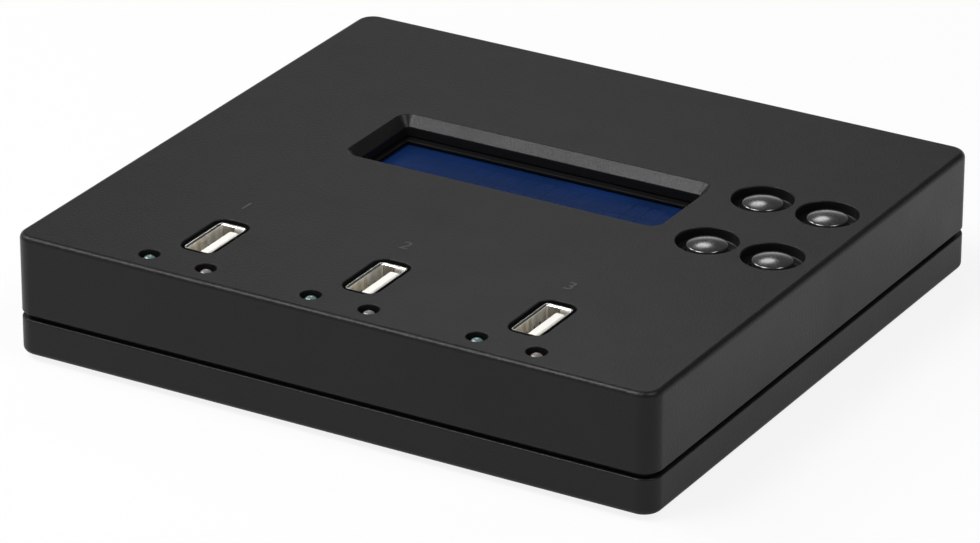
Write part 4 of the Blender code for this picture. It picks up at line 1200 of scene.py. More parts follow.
@dataclass
class CaseBase(Case):
    """The bottom half of the case, with its tongue, foot pockets, screw sinks and towers."""

    floor: float = 2.4 * MM
    foot_pocket: float = 6.3 * MM
    pocket_depth: float = 1.0 * MM
    sink: float = 3.1 * MM
    sink_depth: float = 4.2 * MM
    tower: float = 4.2 * MM
    standoff: float = 2.9 * MM
    hole: float = 1.6 * MM

    def build(self) -> None:
        """Builds the tray."""
        low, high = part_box("base_tray")
        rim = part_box("top_cover")[0].z - 1.0 * MM
        side = arc_path(
            [(4 * MM, low.z, 0.0), (0.0, low.z, self.fillet), (0.0, rim, self.lip), (3 * MM, rim, 0.0)], 8
        )
        tray = loft("case_base", [(self.outline(inset), z) for inset, z in side[1:-1]])
        combine(tray, [prism("tongue", self.outline(self.groove), rim - BITE, high.z)], Join.FUSE)
        combine(tray, [prism("room", self.cavity(), low.z + self.floor, high.z + OVERRUN)], Join.CUT)
        combine(tray, self.posts(low.z + self.floor - BITE, rim - self.seat), Join.FUSE)
        combine(tray, self.sinks(low.z), Join.CUT)
        combine(tray, self.holes(low.z), Join.CUT)
        self.keep(smooth(tray), "case_black", CASE.material(), ["base_tray"])

    def posts(self, bottom: float, top: float) -> list[bpy.types.Object]:
        """Builds the screw towers and the standoffs of the main board.

        Args:
            bottom: the level where they start.
            top: the level where the towers end.

        Returns:
            The towers and the standoffs.
        """
        made = [prism("tower", circle(self.tower, 32, place), bottom, top) for place in self.towers()]
        stand_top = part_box("main_board")[0].z - self.seat
        for where, _, _ in CORNERS:
            centre = tuple(middle(f"board_screw_{where}")[:2])
            made.append(prism("standoff", circle(self.standoff, 32, centre), bottom, stand_top))
        return made

    def sinks(self, bottom: float) -> list[bpy.types.Object]:
        """Builds the cutters of the screw sinks and the foot pockets, which open downwards.

        Args:
            bottom: the level of the tray's underside.

        Returns:
            The cutters.
        """
        made = []
        for where, _, _ in CORNERS:
            screw = tuple(middle(f"case_screw_{where}")[:2])
            foot = tuple(middle(f"foot_{where}")[:2])
            for radius, depth, centre in (
                (self.sink, self.sink_depth, screw), (self.foot_pocket, self.pocket_depth, foot)
            ):
                path = mouth(-depth, 0.0, 0.25 * MM)
                ring = [(0.0, -depth)] + [(radius + out, z) for out, z in path] + [(0.0, path[-1][1])]
                cutter = lathe("sink", ring, 64)
                flip = Matrix.Rotation(math.pi, 4, "X")
                made.append(moved(cutter, Matrix.Translation((centre[0], centre[1], bottom)) @ flip))
        return made

    def holes(self, bottom: float) -> list[bpy.types.Object]:
        """Builds the cutters of the screw holes through the towers.

        Args:
            bottom: the level of the tray's underside.

        Returns:
            The cutters.
        """
        start = bottom + self.sink_depth - BITE
        return [
            prism("hole", circle(self.hole, 24, place), start, start + 10 * MM) for place in self.towers()
        ]


@dataclass
class Underside(Assembly):
    """The rubber feet and the four case screws in their sinks."""

    head: float = 2.8 * MM
    head_height: float = 2.0 * MM
    shank: float = 1.3 * MM
    length: float = 12.0 * MM
    cross: float = 0.75 * MM
    cross_depth: float = 1.2 * MM
    foot: float = 6.0 * MM
    foot_edge: float = 0.55 * MM
    dish: float = 0.25 * MM

    def build(self, tree: GeometryTree) -> None:
        """Builds the feet and screws, each from one part set on four places.

        Args:
            tree: the tree that sets a part on several places.
        """
        low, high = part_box("foot_front_left")
        profile = arc_path(
            [(0.0, self.dish, 0.0), (self.foot * 0.55, self.dish, 0.0), (self.foot * 0.68, 0.0, 0.3 * MM),
             (self.foot, 0.0, self.foot_edge), (self.foot, high.z, 0.1 * MM), (0.0, high.z, 0.0)], 6,
        )
        foot = smooth(lathe("foot_part", profile, 56), 40.0)
        centres = [middle(f"foot_{where}") for where, _, _ in CORNERS]
        feet = repeated(tree, "feet", foot, [(c.x, c.y, 0.0) for c in centres], RUBBER.material())
        self.keep(feet, "foot_rubber", None, [f"foot_{where}" for where, _, _ in CORNERS])
        names = [f"case_screw_{where}" for where, _, _ in CORNERS]
        places = [(middle(n).x, middle(n).y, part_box(n)[0].z + self.head_height) for n in names]
        screws = repeated(tree, "case_screws", self.screw(), places, ZINC.material(), loose_turn=math.pi)
        self.keep(screws, "screw_steel", None, names)

    def screw(self) -> bpy.types.Object:
        """Builds a pan-head screw with a cross recess, head down, with its origin under its head.

        Returns:
            The screw.
        """
        crown = self.head_height * 0.8
        profile = arc_path(
            [(0.0, -self.head_height, 0.0), (self.head * 0.55, -self.head_height, 0.4 * MM),
             (self.head, -self.head_height + crown, 0.9 * MM), (self.head, 0.0, 0.15 * MM),
             (self.shank, 0.0, 0.0),
             (self.shank, self.length - self.shank, 0.1 * MM), (0.3 * MM, self.length, 0.0),
             (0.0, self.length, 0.0)], 4,
        )
        screw = lathe("screw_part", profile, 40)
        deep = -self.head_height + self.cross_depth
        arm = self.head * 0.62
        low = -self.head_height - OVERRUN
        tip = rounded_rectangle(2 * arm * 0.55, self.cross * 0.7, self.cross * 0.2, 3)
        wide = rounded_rectangle(2 * arm, self.cross, self.cross * 0.2, 3)
        for angle in (0.0, 90.0):
            arm_cutter = loft("arm", [(wide, low), (wide, -self.head_height), (tip, deep)])
            moved(arm_cutter, Matrix.Rotation(math.radians(angle), 4, "Z"))
            combine(screw, [arm_cutter], Join.CUT)
        return smooth(screw, 40.0)


@dataclass
class DisplayModule(Assembly):
    """The display's painted frame, its glass and the cells that lie in it."""

    sheet: float = 0.6 * MM
    frame_corner: float = 0.8 * MM
    view: tuple[float, float] = (64.6 * MM, 16.2 * MM)
    columns: int = 16
    rows: int = 2
    dots: tuple[int, int] = (5, 8)
    dot: tuple[float, float] = (0.55 * MM, 0.60 * MM)
    dot_pitch: tuple[float, float] = (0.60 * MM, 0.65 * MM)
    cell_pitch: tuple[float, float] = (3.55 * MM, 5.95 * MM)
    dot_height: float = 0.03 * MM

    def build(self) -> None:
        """Builds the frame, the glass and the dots."""
        low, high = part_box("display_frame")
        centre = middle("display_frame")
        place = tuple(centre[:2])
        size = high - low
        side = arc_path(
            [(0.0, low.z, 0.0), (0.0, high.z, 0.5 * MM), (3.0 * MM, high.z, 0.0)], 6
        )
        levels = [
            (rounded_rectangle(size.x - 2 * inset, size.y - 2 * inset, self.frame_corner, 6, place), z)
            for inset, z in side[:-1]
        ]
        frame = loft("display_bezel", levels)
        inner = rounded_rectangle(
            size.x - 2 * self.sheet, size.y - 2 * self.sheet, self.frame_corner - 0.5 * MM, 4, place
        )
        combine(frame, [prism("inside", inner, low.z - OVERRUN, high.z - self.sheet)], Join.CUT)
        edge = [
            (rounded_rectangle(self.view[0] + 2 * out, self.view[1] + 2 * out, 0.25 * MM + out, 4, place), z)
            for out, z in mouth(low.z, high.z, 0.25 * MM)
        ]
        combine(frame, [loft("view", edge)], Join.CUT)
        self.keep(smooth(frame), "display_black", PAINTED.material(), ["display_frame"])

        glass_low, glass_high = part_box("display_glass")
        glass_size = glass_high - glass_low
        outline = rounded_rectangle(glass_size.x, glass_size.y, 0.3 * MM, 3, place)
        glass = bevelled(prism("display_pane", outline, glass_low.z, glass_high.z), 0.12 * MM)
        self.keep(smooth(glass), "display_blue", GLASS.material(), ["display_glass"])

        point = mesh_object("cells_seed", [(0.0, 0.0, 0.0)], [])
        dots = dot_matrix_tree().run(
            "display_cells", point,
            {
                "Dot Width": self.dot[0], "Dot Depth": self.dot[1], "Dot Height": self.dot_height,
                "Dot Pitch X": self.dot_pitch[0], "Dot Pitch Y": self.dot_pitch[1],
                "Cell Pitch X": self.cell_pitch[0], "Cell Pitch Y": self.cell_pitch[1],
                "Dots X": self.dots[0], "Dots Y": self.dots[1], "Cells X": self.columns, "Cells Y": self.rows,
                "Finish": CELLS.material(),
            },
        )
        moved(dots, Matrix.Translation((centre.x, centre.y, glass_high.z)))
        self.keep(dots, "display_blue", None, [])


@dataclass
class KeyPad(Assembly):
    """The four domed key caps."""

    radius: float = 4.1 * MM
    flange: float = 5.0 * MM
    flange_height: float = 0.8 * MM
    rim_drop: float = 0.65 * MM
    shoulder: float = 0.45 * MM
    wall: float = 0.9 * MM
    roof: float = 1.6 * MM
    post: float = 1.5 * MM

    def build(self) -> None:
        """Builds the caps, each on its own moving body."""
        finish = KEY.material()
        for index in range(1, 5):
            node = f"key_cap_{index}"
            low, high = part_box(node)
            centre = tuple(middle(node)[:2])
            rim = high.z - self.rim_drop
            hollow = rim - self.roof
            skirt = arc_path(
                [(0.0, low.z, 0.0), (self.post, low.z, 0.1 * MM), (self.post, hollow, 0.0),
                 (self.radius - self.wall, hollow, 0.0), (self.radius - self.wall, low.z, 0.0),
                 (self.flange, low.z, 0.15 * MM), (self.flange, low.z + self.flange_height, 0.15 * MM),
                 (self.radius, low.z + self.flange_height, 0.0), (self.radius, rim, self.shoulder),
                 (self.radius * 0.6, rim + self.rim_drop * 0.55, 0.0)], 5,
            )
            start, height = skirt[-2]
            rise = high.z - height
            dome = []
            for i in range(1, 14):
                share = 1 - i / 13
                dome.append((start * share, height + rise * (1 - share**2.0)))
            profile = skirt[:-1] + dome
            profile[-1] = (0.0, high.z)
            cap = smooth(lathe(f"key_{index}_cap", profile, 64, centre), 35.0)
            self.keep(cap, "key_grey", finish, [node], f"key_{index}")


@dataclass
class StatusLamps(Assembly):
    """Two small domed lamps in front of each socket."""

    radius: float = 1.5 * MM
    flange: float = 1.9 * MM
    flange_height: float = 1.0 * MM
    lead: float = 0.5 * MM
    lead_spread: float = 2.54 * MM
    height: float = 5.3 * MM

    def build(self, tree: GeometryTree) -> None:
        """Builds the lamps: one kind at the left of each socket and one at the right.

        Args:
            tree: the tree that sets a part on several places.
        """
        for side, finish, slot in (("a", TEAL_LAMP, "lamp_green"), ("b", ROSE_LAMP, "lamp_red")):
            nodes = [f"status_lamp_{i}{side}" for i in range(1, 4)]
            places = [(middle(n).x, middle(n).y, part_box(n)[1].z) for n in nodes]
            lamps = repeated(tree, f"lamps_{side}", self.lamp(), places, finish.material())
            self.keep(lamps, slot, None, nodes)
            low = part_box(nodes[0])[0].z - places[0][2]
            leads = repeated(tree, f"lamp_leads_{side}", self.leads(low), places, ZINC.material())
            self.keep(leads, "screw_steel", None, [])

    def lamp(self) -> bpy.types.Object:
        """Builds a lamp's resin body, with its origin at the top of its dome.

        Returns:
            The lamp.
        """
        straight = -self.radius
        bottom = -self.height
        profile = arc_path(
            [(0.0, bottom, 0.0), (self.flange, bottom, 0.1 * MM),
             (self.flange, bottom + self.flange_height, 0.1 * MM),
             (self.radius, bottom + self.flange_height, 0.0), (self.radius, straight, 0.0)], 3,
        )
        for i in range(1, 13):
            angle = math.radians(90.0) * i / 12
            profile.append((self.radius * math.cos(angle), straight + self.radius * math.sin(angle)))
        profile[-1] = (0.0, 0.0)
        return smooth(lathe("lamp_part", profile, 40), 40.0)

    def leads(self, bottom: float) -> bpy.types.Object:
        """Builds a lamp's two leads, down to a level below the top of its dome.

        Args:
            bottom: the level of the leads' ends, below the top of the dome.

        Returns:
            The two leads.
        """
        legs = []
        for side in (-1, 1):
            outline = rounded_rectangle(self.lead, self.lead, 0.1 * MM, 2, (side * self.lead_spread / 2, 0.0))
            legs.append(prism("lead", outline, bottom, -self.height + 0.02 * MM))
        return merged("lead_part", legs)


@dataclass
class Sockets(Assembly):
    """The three upright USB sockets: shells with spring fingers, and tongues with contacts."""

    width: float = 5.74 * MM
    length: float = 13.14 * MM
    corner: float = 0.7 * MM
    sheet: float = 0.32 * MM
    flare: float = 0.35 * MM
    leg: tuple[float, float] = (1.6 * MM, 7.0 * MM)
    finger: tuple[float, float, float] = (1.7 * MM, 5.0 * MM, 2.6 * MM)
    finger_slot: float = 0.45 * MM
    finger_spread: float = 5.0 * MM
    finger_bend: float = 0.50 * MM
    seam: float = 0.10 * MM
    tongue: tuple[float, float] = (2.0 * MM, 11.1 * MM)
    tongue_gap: float = 0.85 * MM
    block_height: float = 3.6 * MM
    contact: tuple[float, float] = (0.22 * MM, 0.9 * MM)
    contact_pitch: float = 2.25 * MM
    contact_drop: float = 1.0 * MM
    board_gap: float = 0.3 * MM

    def build(self, tree: GeometryTree) -> None:
        """Builds the shells, fingers, tongues and contacts.

        Args:
            tree: the tree that sets a part on several places.
        """
        nickel = NICKEL.material()
        ivory = IVORY.material()
        tops: list[Vector] = []
        for i in range(1, 4):
            low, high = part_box(f"usb_shell_{i}")
            centre = (low + high) / 2
            tops.append(Vector((centre.x, centre.y, high.z)))
            board = self.board_level()
            shell = self.shell(f"usb_{i}_shell", centre, low.z, board, high.z)
            self.keep(shell, "shell_nickel", nickel, [f"usb_shell_{i}"])
            tongue_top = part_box(f"usb_tongue_{i}")[1].z
            tongue = self.block(f"usb_{i}_tongue", centre, board, tongue_top)
            self.keep(tongue, "socket_white", ivory, [f"usb_tongue_{i}"])
        self.fingers(tree, tops, nickel)
        self.contacts(tree, tops)

    def board_level(self) -> float:
        """Gives the level where the sockets stand, just over the main board."""
        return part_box("main_board")[1].z + self.board_gap

    def tube(self, outset: float, centre: Vector) -> Outline:
        """Gives the outline of a shell, pushed out by an outset.

        Args:
            outset: how far it is pushed out.
            centre: its middle.

        Returns:
            The outline.
        """
        return rounded_rectangle(
            self.width + 2 * outset, self.length + 2 * outset, max(0.1 * MM, self.corner + outset), 6,
            (centre.x, centre.y),
        )

    def shell(self, name: str, centre: Vector, leg_end: float, bottom: float, top: float) -> bpy.types.Object:
        """Builds a shell, open where its spring fingers are cut out.

        Args:
            name: the name of the piece.
            centre: its middle.
            leg_end: the level of its legs' ends.
            bottom: the level where it stands on the board.
            top: the level of its mouth.

        Returns:
            The shell.
        """
        outer = [(self.tube(0.0, centre), bottom)]
        inner = [(self.tube(-self.sheet, centre), bottom - OVERRUN)]
        for i in range(7):
            share = i / 6
            level = top - self.flare * (1 - share)
            outer.append((self.tube(self.flare / 2 * share**1.6, centre), level))
            inner.append((self.tube(-self.sheet + self.flare * share**1.6 * 1.15, centre), level))
        inner.append((self.tube(self.flare * 0.6, centre), top + OVERRUN))
        shell = loft(name, outer)
        combine(shell, [loft("bore", inner)], Join.CUT)
        width, length, drop = self.finger
        windows = []
        for side in (-1, 1):
            x = centre.x + side * self.width / 2
            for where in (-1, 1):
                y = centre.y + where * self.finger_spread / 2
                outline = rounded_rectangle(
                    4 * self.sheet, width + 2 * self.finger_slot, 0.2 * MM, 3, (x, y)
                )
                windows.append(prism("window", outline, top - drop - length - self.finger_slot, top - drop))
        seam = rounded_rectangle(
            self.seam, 4 * self.sheet, self.seam * 0.3, 2, (centre.x, centre.y + self.length / 2)
        )
        windows.append(prism("seam", seam, bottom - OVERRUN, top - 1.2 * self.flare))
        combine(shell, windows, Join.CUT)
        legs = []
        for side in (-1, 1):
            for where in (-1, 1):
                x = centre.x + side * (self.width - self.sheet) / 2
                y = centre.y + where * self.leg[1] / 2
                tip = rounded_rectangle(self.sheet, self.leg[0] * 0.6, 0.1 * MM, 2, (x, y))
                full = rounded_rectangle(self.sheet, self.leg[0], 0.1 * MM, 2, (x, y))
                legs.append(
                    loft("leg", [(tip, leg_end), (full, leg_end + 0.5 * MM), (full, bottom + 0.01 * MM)])
                )
        shell = merged(name, [shell, *legs])
        return smooth(shell, 40.0)

    def fingers(self, tree: GeometryTree, tops: list[Vector], finish: bpy.types.Material) -> None:
        """Builds the spring fingers of all the shells from one bent strip.

        Args:
            tree: the tree that sets a part on several places.
            tops: the middle of the mouth of each socket.
            finish: the material.
        """
        width, length, drop = self.finger
        bend = self.finger_bend
        path = arc_path(
            [
                (0.0, 0.0, 0.0), (0.0, -0.8 * MM, 1.2 * MM), (bend, -length * 0.8, 0.8 * MM),
                (bend * 0.3, -length, 0.0)
            ], 6
        )
        side = [(x, z) for x, z in path] + [(x + self.sheet, z) for x, z in reversed(path)]
        part = strip("finger_part", side, width)
        places = []
        turns = []
        for top in tops:
            for across in (-1, 1):
                for where in (-1, 1):
                    x = top.x + across * self.width / 2
                    places.append((x, top.y + where * self.finger_spread / 2, top.z - drop + 0.05 * MM))
                    turns.append(0.0 if across < 0 else math.pi)
        fingers = repeated(tree, "usb_spring_fingers", smooth(part, 40.0), places, finish, turns)
        self.keep(fingers, "shell_nickel", None, [])

    def block(self, name: str, centre: Vector, bottom: float, top: float) -> bpy.types.Object:
        """Builds a socket's white block and tongue.

        Args:
            name: the name of the piece.
            centre: the socket's middle.
            bottom: the level where the block starts.
            top: the level of the tongue's tip.

        Returns:
            The block.
        """
        inner = self.width - 2 * self.sheet
        gap = 0.3 * MM
        outline = rounded_rectangle(
            inner - 2 * gap, self.length - 2 * self.sheet - 2 * gap, 0.3 * MM, 4, (centre.x, centre.y)
        )
        made = prism(name, outline, bottom, bottom + self.block_height)
        x = centre.x + inner / 2 - self.tongue_gap - self.tongue[0] / 2
        side = arc_path([(0.0, bottom + 2 * MM, 0.0), (0.0, top, 0.35 * MM), (1.0 * MM, top, 0.0)], 6)
        levels = [
            (
                rounded_rectangle(
                    self.tongue[0] - 2 * inset, self.tongue[1] - 2 * inset, 0.30 * MM, 4, (x, centre.y)
                ), z
            )
            for inset, z in side[:-1]
        ]
        combine(made, [loft("tongue", levels)], Join.FUSE)
        return smooth(made, 40.0)

    def contacts(self, tree: GeometryTree, tops: list[Vector]) -> None:
        """Builds the gold contacts on the tongues from one strip.

        Args:
            tree: the tree that sets a part on several places.
            tops: the middle of the mouth of each socket.
        """
        proud, width = self.contact
        tongue_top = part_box("usb_tongue_1")[1].z
        root = self.board_level() + self.block_height - BITE
        length = tongue_top - self.contact_drop - root
        side = arc_path(
            [
                (0.0, 0.0, 0.0), (-proud, 0.0, 0.0), (-proud, length - 0.8 * MM, 0.5 * MM),
                (0.1 * MM, length, 0.0)
            ], 4
        )
        part = strip("contact_part", side, width)
        offset = (self.width - 2 * self.sheet) / 2 - self.tongue_gap - self.tongue[0]
        places = [
            (top.x + offset, top.y + (i - 1.5) * self.contact_pitch, root) for top in tops for i in range(4)
        ]
        made = repeated(tree, "usb_contacts", smooth(part, 40.0), places, GOLD.material())
        self.keep(made, "socket_white", None, [])


@dataclass
class PowerInlet(Assembly):
    """The barrel inlet: a moulded block with a round nose, and the pin in it."""

    nose: float = 4.0 * MM
    bore: float = 3.15 * MM
    axis: float = 5.6 * MM
    nose_length: float = 2.2 * MM
    bore_depth: float = 9.2 * MM
    pin: float = 1.0 * MM
    slit: tuple[float, float] = (0.18 * MM, 3.0 * MM)
    tab: tuple[float, float, float] = (2.4 * MM, 0.8 * MM, 1.2 * MM)

    def build(self) -> None:
        """Builds the housing and the pin."""
        low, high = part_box("power_inlet")
        front = high.y - self.nose_length
        centre = (low + high) / 2
        level = low.z + self.axis
        outline = rounded_rectangle(
            high.x - low.x, front - low.y, 0.3 * MM, 4, (centre.x, (front + low.y) / 2)
        )
        body = bevelled(prism("inlet_body", outline, low.z, high.z), 0.25 * MM)
        rim = arc_path(
            [(0.0, -BITE, 0.0), (self.nose, -BITE, 0.0), (self.nose, self.nose_length, 0.35 * MM),
             (0.0, self.nose_length, 0.0)], 6,
        )
        nose = moved(lathe("nose", rim, 64), towards_back(centre.x, front, level))
        combine(body, [nose], Join.FUSE)
        bore = [(0.0, -self.bore_depth)]
        bore += [(self.bore + out, z) for out, z in mouth(-self.bore_depth, self.nose_length, 0.35 * MM)]
        bore.append((0.0, bore[-1][1]))
        combine(body, [moved(lathe("bore", bore, 64), towards_back(centre.x, front, level))], Join.CUT)
        self.keep(smooth(body), "moulded_black", DARK.material(), ["power_inlet"])

        pin_low, pin_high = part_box("inlet_pin")
        length = pin_high.y - pin_low.y
        profile = arc_path(
            [(0.0, 0.0, 0.0), (self.pin, 0.0, 0.0), (self.pin, length, 0.55 * MM), (0.0, length, 0.0)], 8
        )
        pin = lathe("pin", profile, 40)
        gap, deep = self.slit
        across = rounded_rectangle(gap, 4 * self.pin, 0.05 * MM, 2)
        slit = prism("slit", across, length - deep, length + OVERRUN)
        combine(pin, [slit], Join.CUT)
        moved(pin, towards_back(centre.x, pin_low.y, level))
        width, depth, rise = self.tab
        tab = rounded_rectangle(width, depth, 0.1 * MM, 2, (centre.x, pin_low.y + depth / 2))
        made = combine(pin, [prism("tab", tab, pin_low.z, level + rise)], Join.FUSE)
        made.name = "inlet_contact_pin"
        self.keep(smooth(made, 40.0), "shell_nickel", NICKEL.material(), ["inlet_pin"])


@dataclass
class PowerSwitch(Assembly):
    """The rocker, with its two marks."""

    half: float = 5.6 * MM
    tip: float = 4.2 * MM
    valley: float = 3.1 * MM
    root: float = 1.4 * MM
    height: float = 7.4 * MM
    stub: float = 1.0 * MM
    stub_reach: float = 5.0 * MM
    tilt: float = math.radians(-10.0)
    bar: tuple[float, float] = (0.5 * MM, 2.8 * MM)
    ring: tuple[float, float] = (1.4 * MM, 0.95 * MM)
    mark_place: float = 3.1 * MM
    mark_height: float = 0.03 * MM

    def face(self, x: float) -> float:
        """Gives how far the rocker's hollow face stands out at a distance from its middle."""
        return self.valley + (self.tip - self.valley) * (abs(x) / self.half) ** 1.5

    def build(self, frame: dict[str, Any]) -> None:
        """Builds the rocker and its marks.

        Args:
            frame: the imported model, whose joint gives the rocker's axis.
        """
        joint = next(j for j in frame["joints"] if j["name"] == "rocker_tilt")
        place = Matrix.Translation(joint["pos_m"]) @ Matrix.Rotation(self.tilt, 4, "Z")
        outline: Outline = [
            (-self.half, 0.0), (-self.half + self.root, -self.root), (self.half - self.root, -self.root)
        ]
        outline.append((self.half, 0.0))
        steps = 20
        outline += [
            (
                self.half * (1 - 2 * i / steps), self.face(self.half * (1 - 2 * i / steps))
            ) for i in range(steps + 1)
        ]
        rocker = prism("rocker_part", outline, -self.height / 2, self.height / 2)
        rocker = bevelled(rocker, 0.28 * MM)
        stub = prism("stub", circle(self.stub, 32), -self.stub_reach, self.stub_reach)
        combine(rocker, [stub], Join.FUSE)
        rocker.name = "rocker_key"
        moved(rocker, place)
        self.keep(smooth(rocker), "moulded_black", DARK.material(), ["power_rocker"], "rocker")
        bar = self.mark(rounded_rectangle(*self.bar, 0.15 * MM, 3), None, -self.mark_place)
        ring = self.mark(circle(self.ring[0], 40), circle(self.ring[1], 40), self.mark_place)
        marks = merged("rocker_marks", [bar, ring])
        moved(marks, place)
        self.keep(marks, "socket_white", WHITE_INK.material(), [], "rocker")

    def mark(self, outer: Outline, inner: Outline | None, at: float) -> bpy.types.Object:
        """Builds a printed mark that follows the rocker's face.

        Args:
            outer: its outline.
            inner: the outline of the hole in it, or None.
            at: how far from the rocker's middle it lies.

        Returns:
            The mark.
        """
        mark = prism("mark", outer, -0.5, 0.5)
        if inner is not None:
            combine(mark, [prism("mark_hole", inner, -1.0, 1.0)], Join.CUT)
        for vertex in mark.data.vertices:
            x, z, side = vertex.co
            out = self.face(at + x) + (self.mark_height if side > 0 else -self.mark_height)
            vertex.co = (at + x, out, z)
        return outward(mark)


@dataclass
class Numerals(Assembly):
    """The small numbers printed behind the sockets."""

    size: float = 4.6 * MM
    thickness: float = 0.012 * MM
    behind: float = 14.6 * MM
    aside: float = -2.4 * MM

    def build(self) -> None:
        """Builds the numbers as one flat printed piece on the cover."""
        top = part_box("top_cover")[1].z - 0.015 * MM
        digits = []
        for i in range(1, 4):
            socket = middle(f"usb_shell_{i}")
            curve = bpy.data.curves.new("digit", "FONT")
            curve.body = str(i)
            curve.size = self.size
            curve.align_x = "CENTER"
            curve.align_y = "CENTER"
            curve.extrude = self.thickness
            written = bpy.data.objects.new("digit", curve)
            bpy.context.scene.collection.objects.link(written)
            bpy.context.view_layer.update()
            graph = bpy.context.evaluated_depsgraph_get()
            mesh = bpy.data.meshes.new_from_object(written.evaluated_get(graph), depsgraph=graph)
            bpy.data.objects.remove(written)
            digit = bpy.data.objects.new("digit_mesh", mesh)
            bpy.context.scene.collection.objects.link(digit)
            place = (socket.x + self.aside, socket.y + self.behind, top)
            digits.append(moved(digit, Matrix.Translation(place)))
        self.keep(merged("socket_numbers", digits), "case_black", INK.material(), [])


@dataclass
class Inside(Assembly):
    """What lies inside the case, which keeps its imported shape."""

    def build(self, frame: dict[str, Any]) -> None:
        """Gives each inner part its finish.

        Args:
            frame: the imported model.
        """
        nodes = frame["nodes"]
        self.repaint(frame, ["main_board", "display_board", "key_board"], BOARD.material())
        inner = [n for n in nodes if n.startswith(("board_screw", "display_screw", "key_board_screw"))]
        self.repaint(frame, inner + ["crystal_can"], ZINC.material())
        self.repaint(frame, ["display_backlight"], MILKY.material())
        switches = [n for n in nodes if n.startswith("key_switch")]
        self.repaint(frame, switches + ["power_switch_housing"], DARK.material())
        self.repaint(frame, [n for n in nodes if n.startswith("key_plunger")], AMBER.material())
        for header, board in (("display_header", "display_board"), ("key_header", "key_board")):
            pins = TwoPart(
                header + "_and_pins", DARK.colour, 0.4, level=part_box(board)[0].z, above=True,
                other=(0.6, 0.58, 0.5)
            )
            self.repaint(frame, [header], pins.material())
        chip_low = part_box("controller_chip")[0].z
        chip = TwoPart("chip_package", (0.018, 0.018, 0.020), 0.5, level=chip_low + 0.36 * MM)
        self.repaint(frame, ["controller_chip"], chip.material())
        can_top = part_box("supply_capacitor")[1].z
        sleeve = TwoPart(
            "capacitor_sleeve_shrunk", (0.02, 0.02, 0.055), 0.35, level=can_top - 0.1 * MM, above=True
        )
        self.repaint(frame, ["supply_capacitor"], sleeve.material())


# Studio


@dataclass
class Lamp:
    """One soft studio light."""

    name: str
    place: tuple[float, float, float]
    size: tuple[float, float]
    power: float
    shape: str = "RECTANGLE"


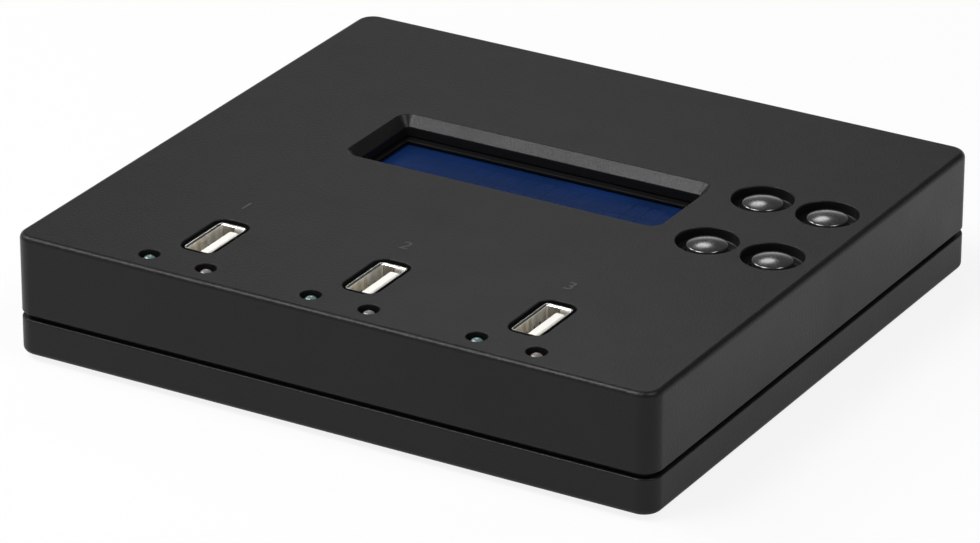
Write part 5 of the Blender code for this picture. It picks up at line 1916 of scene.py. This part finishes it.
@dataclass
class Studio:
    """The pale floor, the studio's walls and ceiling, the soft lights and the camera."""

    floor_colour: float = 0.80
    glow_seen: float = 0.86
    glow_mirrored: float = 0.36
    wall: float = 1.0
    wall_top: tuple[float, float] = (0.05, 0.32)
    ceiling: tuple[float, float] = (0.12, 0.03)
    ceiling_span: float = 0.5
    floor_reach: float = 6.0
    target: tuple[float, float, float] = (0.0, 0.0, 0.015)
    sensor: float = 36.0
    lens: float = 215.56
    eye: tuple[float, float, float] = (0.523786, -0.900046, 0.489361)
    eye_right: tuple[float, float, float] = (0.86308255, 0.50506115, 0.00132246)
    eye_up: tuple[float, float, float] = (-0.2127199, 0.36113278, 0.90792806)
    eye_back: tuple[float, float, float] = (0.45808161, -0.78389818, 0.41912396)
    lamps: tuple[Lamp, ...] = (
        Lamp("front_left", (-0.38, -0.48, 1.02), (0.50, 0.50), 9.6),
        Lamp("left", (-0.94, -0.12, 0.82), (0.40, 0.40), 5.5),
        Lamp("right", (0.69, -0.06, 1.04), (0.40, 0.40), 4.4),
        Lamp("behind", (-0.446, 0.772, 0.803), (0.30, 0.30), 0.8, "DISK"),
    )

    def build(self) -> None:
        """Builds the studio."""
        self.floor()
        self.world()
        for lamp in self.lamps:
            self.light(lamp)
        self.camera()

    def floor(self) -> None:
        """Builds the floor, which is seen nearly white, with the object's soft shadow on it."""
        far = self.floor_reach
        corners = [(-far, -far, 0.0), (far, -far, 0.0), (far, far, 0.0), (-far, far, 0.0)]
        floor = mesh_object("floor", corners, [[0, 1, 2, 3]])
        nodes = MaterialNodes("floor_pale")
        grey = self.floor_colour
        nodes.set(Base_Color=(grey, grey, grey, 1.0), Roughness=0.9, Specular_IOR_Level=0.1)
        seen = nodes.add("ShaderNodeLightPath")
        straight = nodes.math("MAXIMUM", seen.outputs["Is Camera Ray"], seen.outputs["Is Transmission Ray"])
        straight = nodes.math("MULTIPLY", straight, self.glow_seen)
        mirrored = nodes.math("MULTIPLY", seen.outputs["Is Glossy Ray"], self.glow_mirrored)
        share = nodes.math("MAXIMUM", straight, mirrored)
        glow = nodes.add("ShaderNodeEmission", {"Color": (1.0, 1.0, 1.0, 1.0), "Strength": 1.0})
        both = nodes.add("ShaderNodeMixShader", {0: share, 1: nodes.shader.outputs[0], 2: glow.outputs[0]})
        nodes.tree.links.new(both.outputs[0], nodes.tree.nodes["Material Output"].inputs["Surface"])
        floor.data.materials.append(nodes.material)

    def world(self) -> None:
        """Makes the surroundings: white walls up to a height, under a ceiling that darkens to the right."""
        world = bpy.data.worlds.new("studio")
        bpy.context.scene.world = world
        world.use_nodes = True
        nodes = Nodes(world.node_tree)
        axes = nodes.add("ShaderNodeSeparateXYZ", {0: nodes.add("ShaderNodeTexCoord").outputs["Generated"]})
        left, right = self.ceiling
        above = nodes.ramp(axes.outputs[0], -self.ceiling_span, self.ceiling_span, left, right)
        low, high = self.wall_top
        level = nodes.ramp(axes.outputs[2], low, high, self.wall, above)
        back = world.node_tree.nodes["Background"]
        back.inputs["Color"].default_value = (1.0, 1.0, 1.0, 1.0)
        world.node_tree.links.new(level, back.inputs["Strength"])

    def light(self, lamp: Lamp) -> None:
        """Adds a soft light that points at the object.

        Args:
            lamp: what the light is like.
        """
        data = bpy.data.lights.new(lamp.name, "AREA")
        data.shape = lamp.shape
        data.size, data.size_y = lamp.size
        data.energy = lamp.power
        light = bpy.data.objects.new(lamp.name, data)
        bpy.context.scene.collection.objects.link(light)
        aim = Vector(self.target) - Vector(lamp.place)
        light.matrix_world = Matrix.Translation(
            lamp.place
        ) @ aim.to_track_quat("-Z", "Y").to_matrix().to_4x4()

    def camera(self) -> None:
        """Sets up the camera at the photograph's view."""
        data = bpy.data.cameras.new("camera")
        data.sensor_width = self.sensor
        data.lens = self.lens
        data.clip_start = 0.01
        data.clip_end = 50.0
        camera = bpy.data.objects.new("camera", data)
        axes = Matrix((self.eye_right, self.eye_up, self.eye_back)).transposed().to_4x4()
        camera.matrix_world = Matrix.Translation(self.eye) @ axes
        bpy.context.scene.collection.objects.link(camera)
        bpy.context.scene.camera = camera


def main() -> None:
    """Builds the object's looks and the studio, and logs the face count of each piece that it made."""
    logging.basicConfig(level=logging.INFO, format="%(message)s")
    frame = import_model()
    view = bpy.context.scene.view_settings
    view.view_transform = "Standard"
    tree = repeat_tree()
    cover, base, underside, display = CaseCover(), CaseBase(), Underside(), DisplayModule()
    keys, lamps, sockets, inlet = KeyPad(), StatusLamps(), Sockets(), PowerInlet()
    switch, numerals, inside = PowerSwitch(), Numerals(), Inside()
    cover.build()
    base.build()
    underside.build(tree)
    display.build()
    keys.build()
    lamps.build(tree)
    sockets.build(tree)
    inlet.build()
    switch.build(frame)
    numerals.build()
    inside.build(frame)
    for assembly in (cover, base, underside, display, keys, lamps, sockets, inlet, switch, numerals, inside):
        assembly.report()
    Studio().build()


if __name__ == "__main__":
    main()
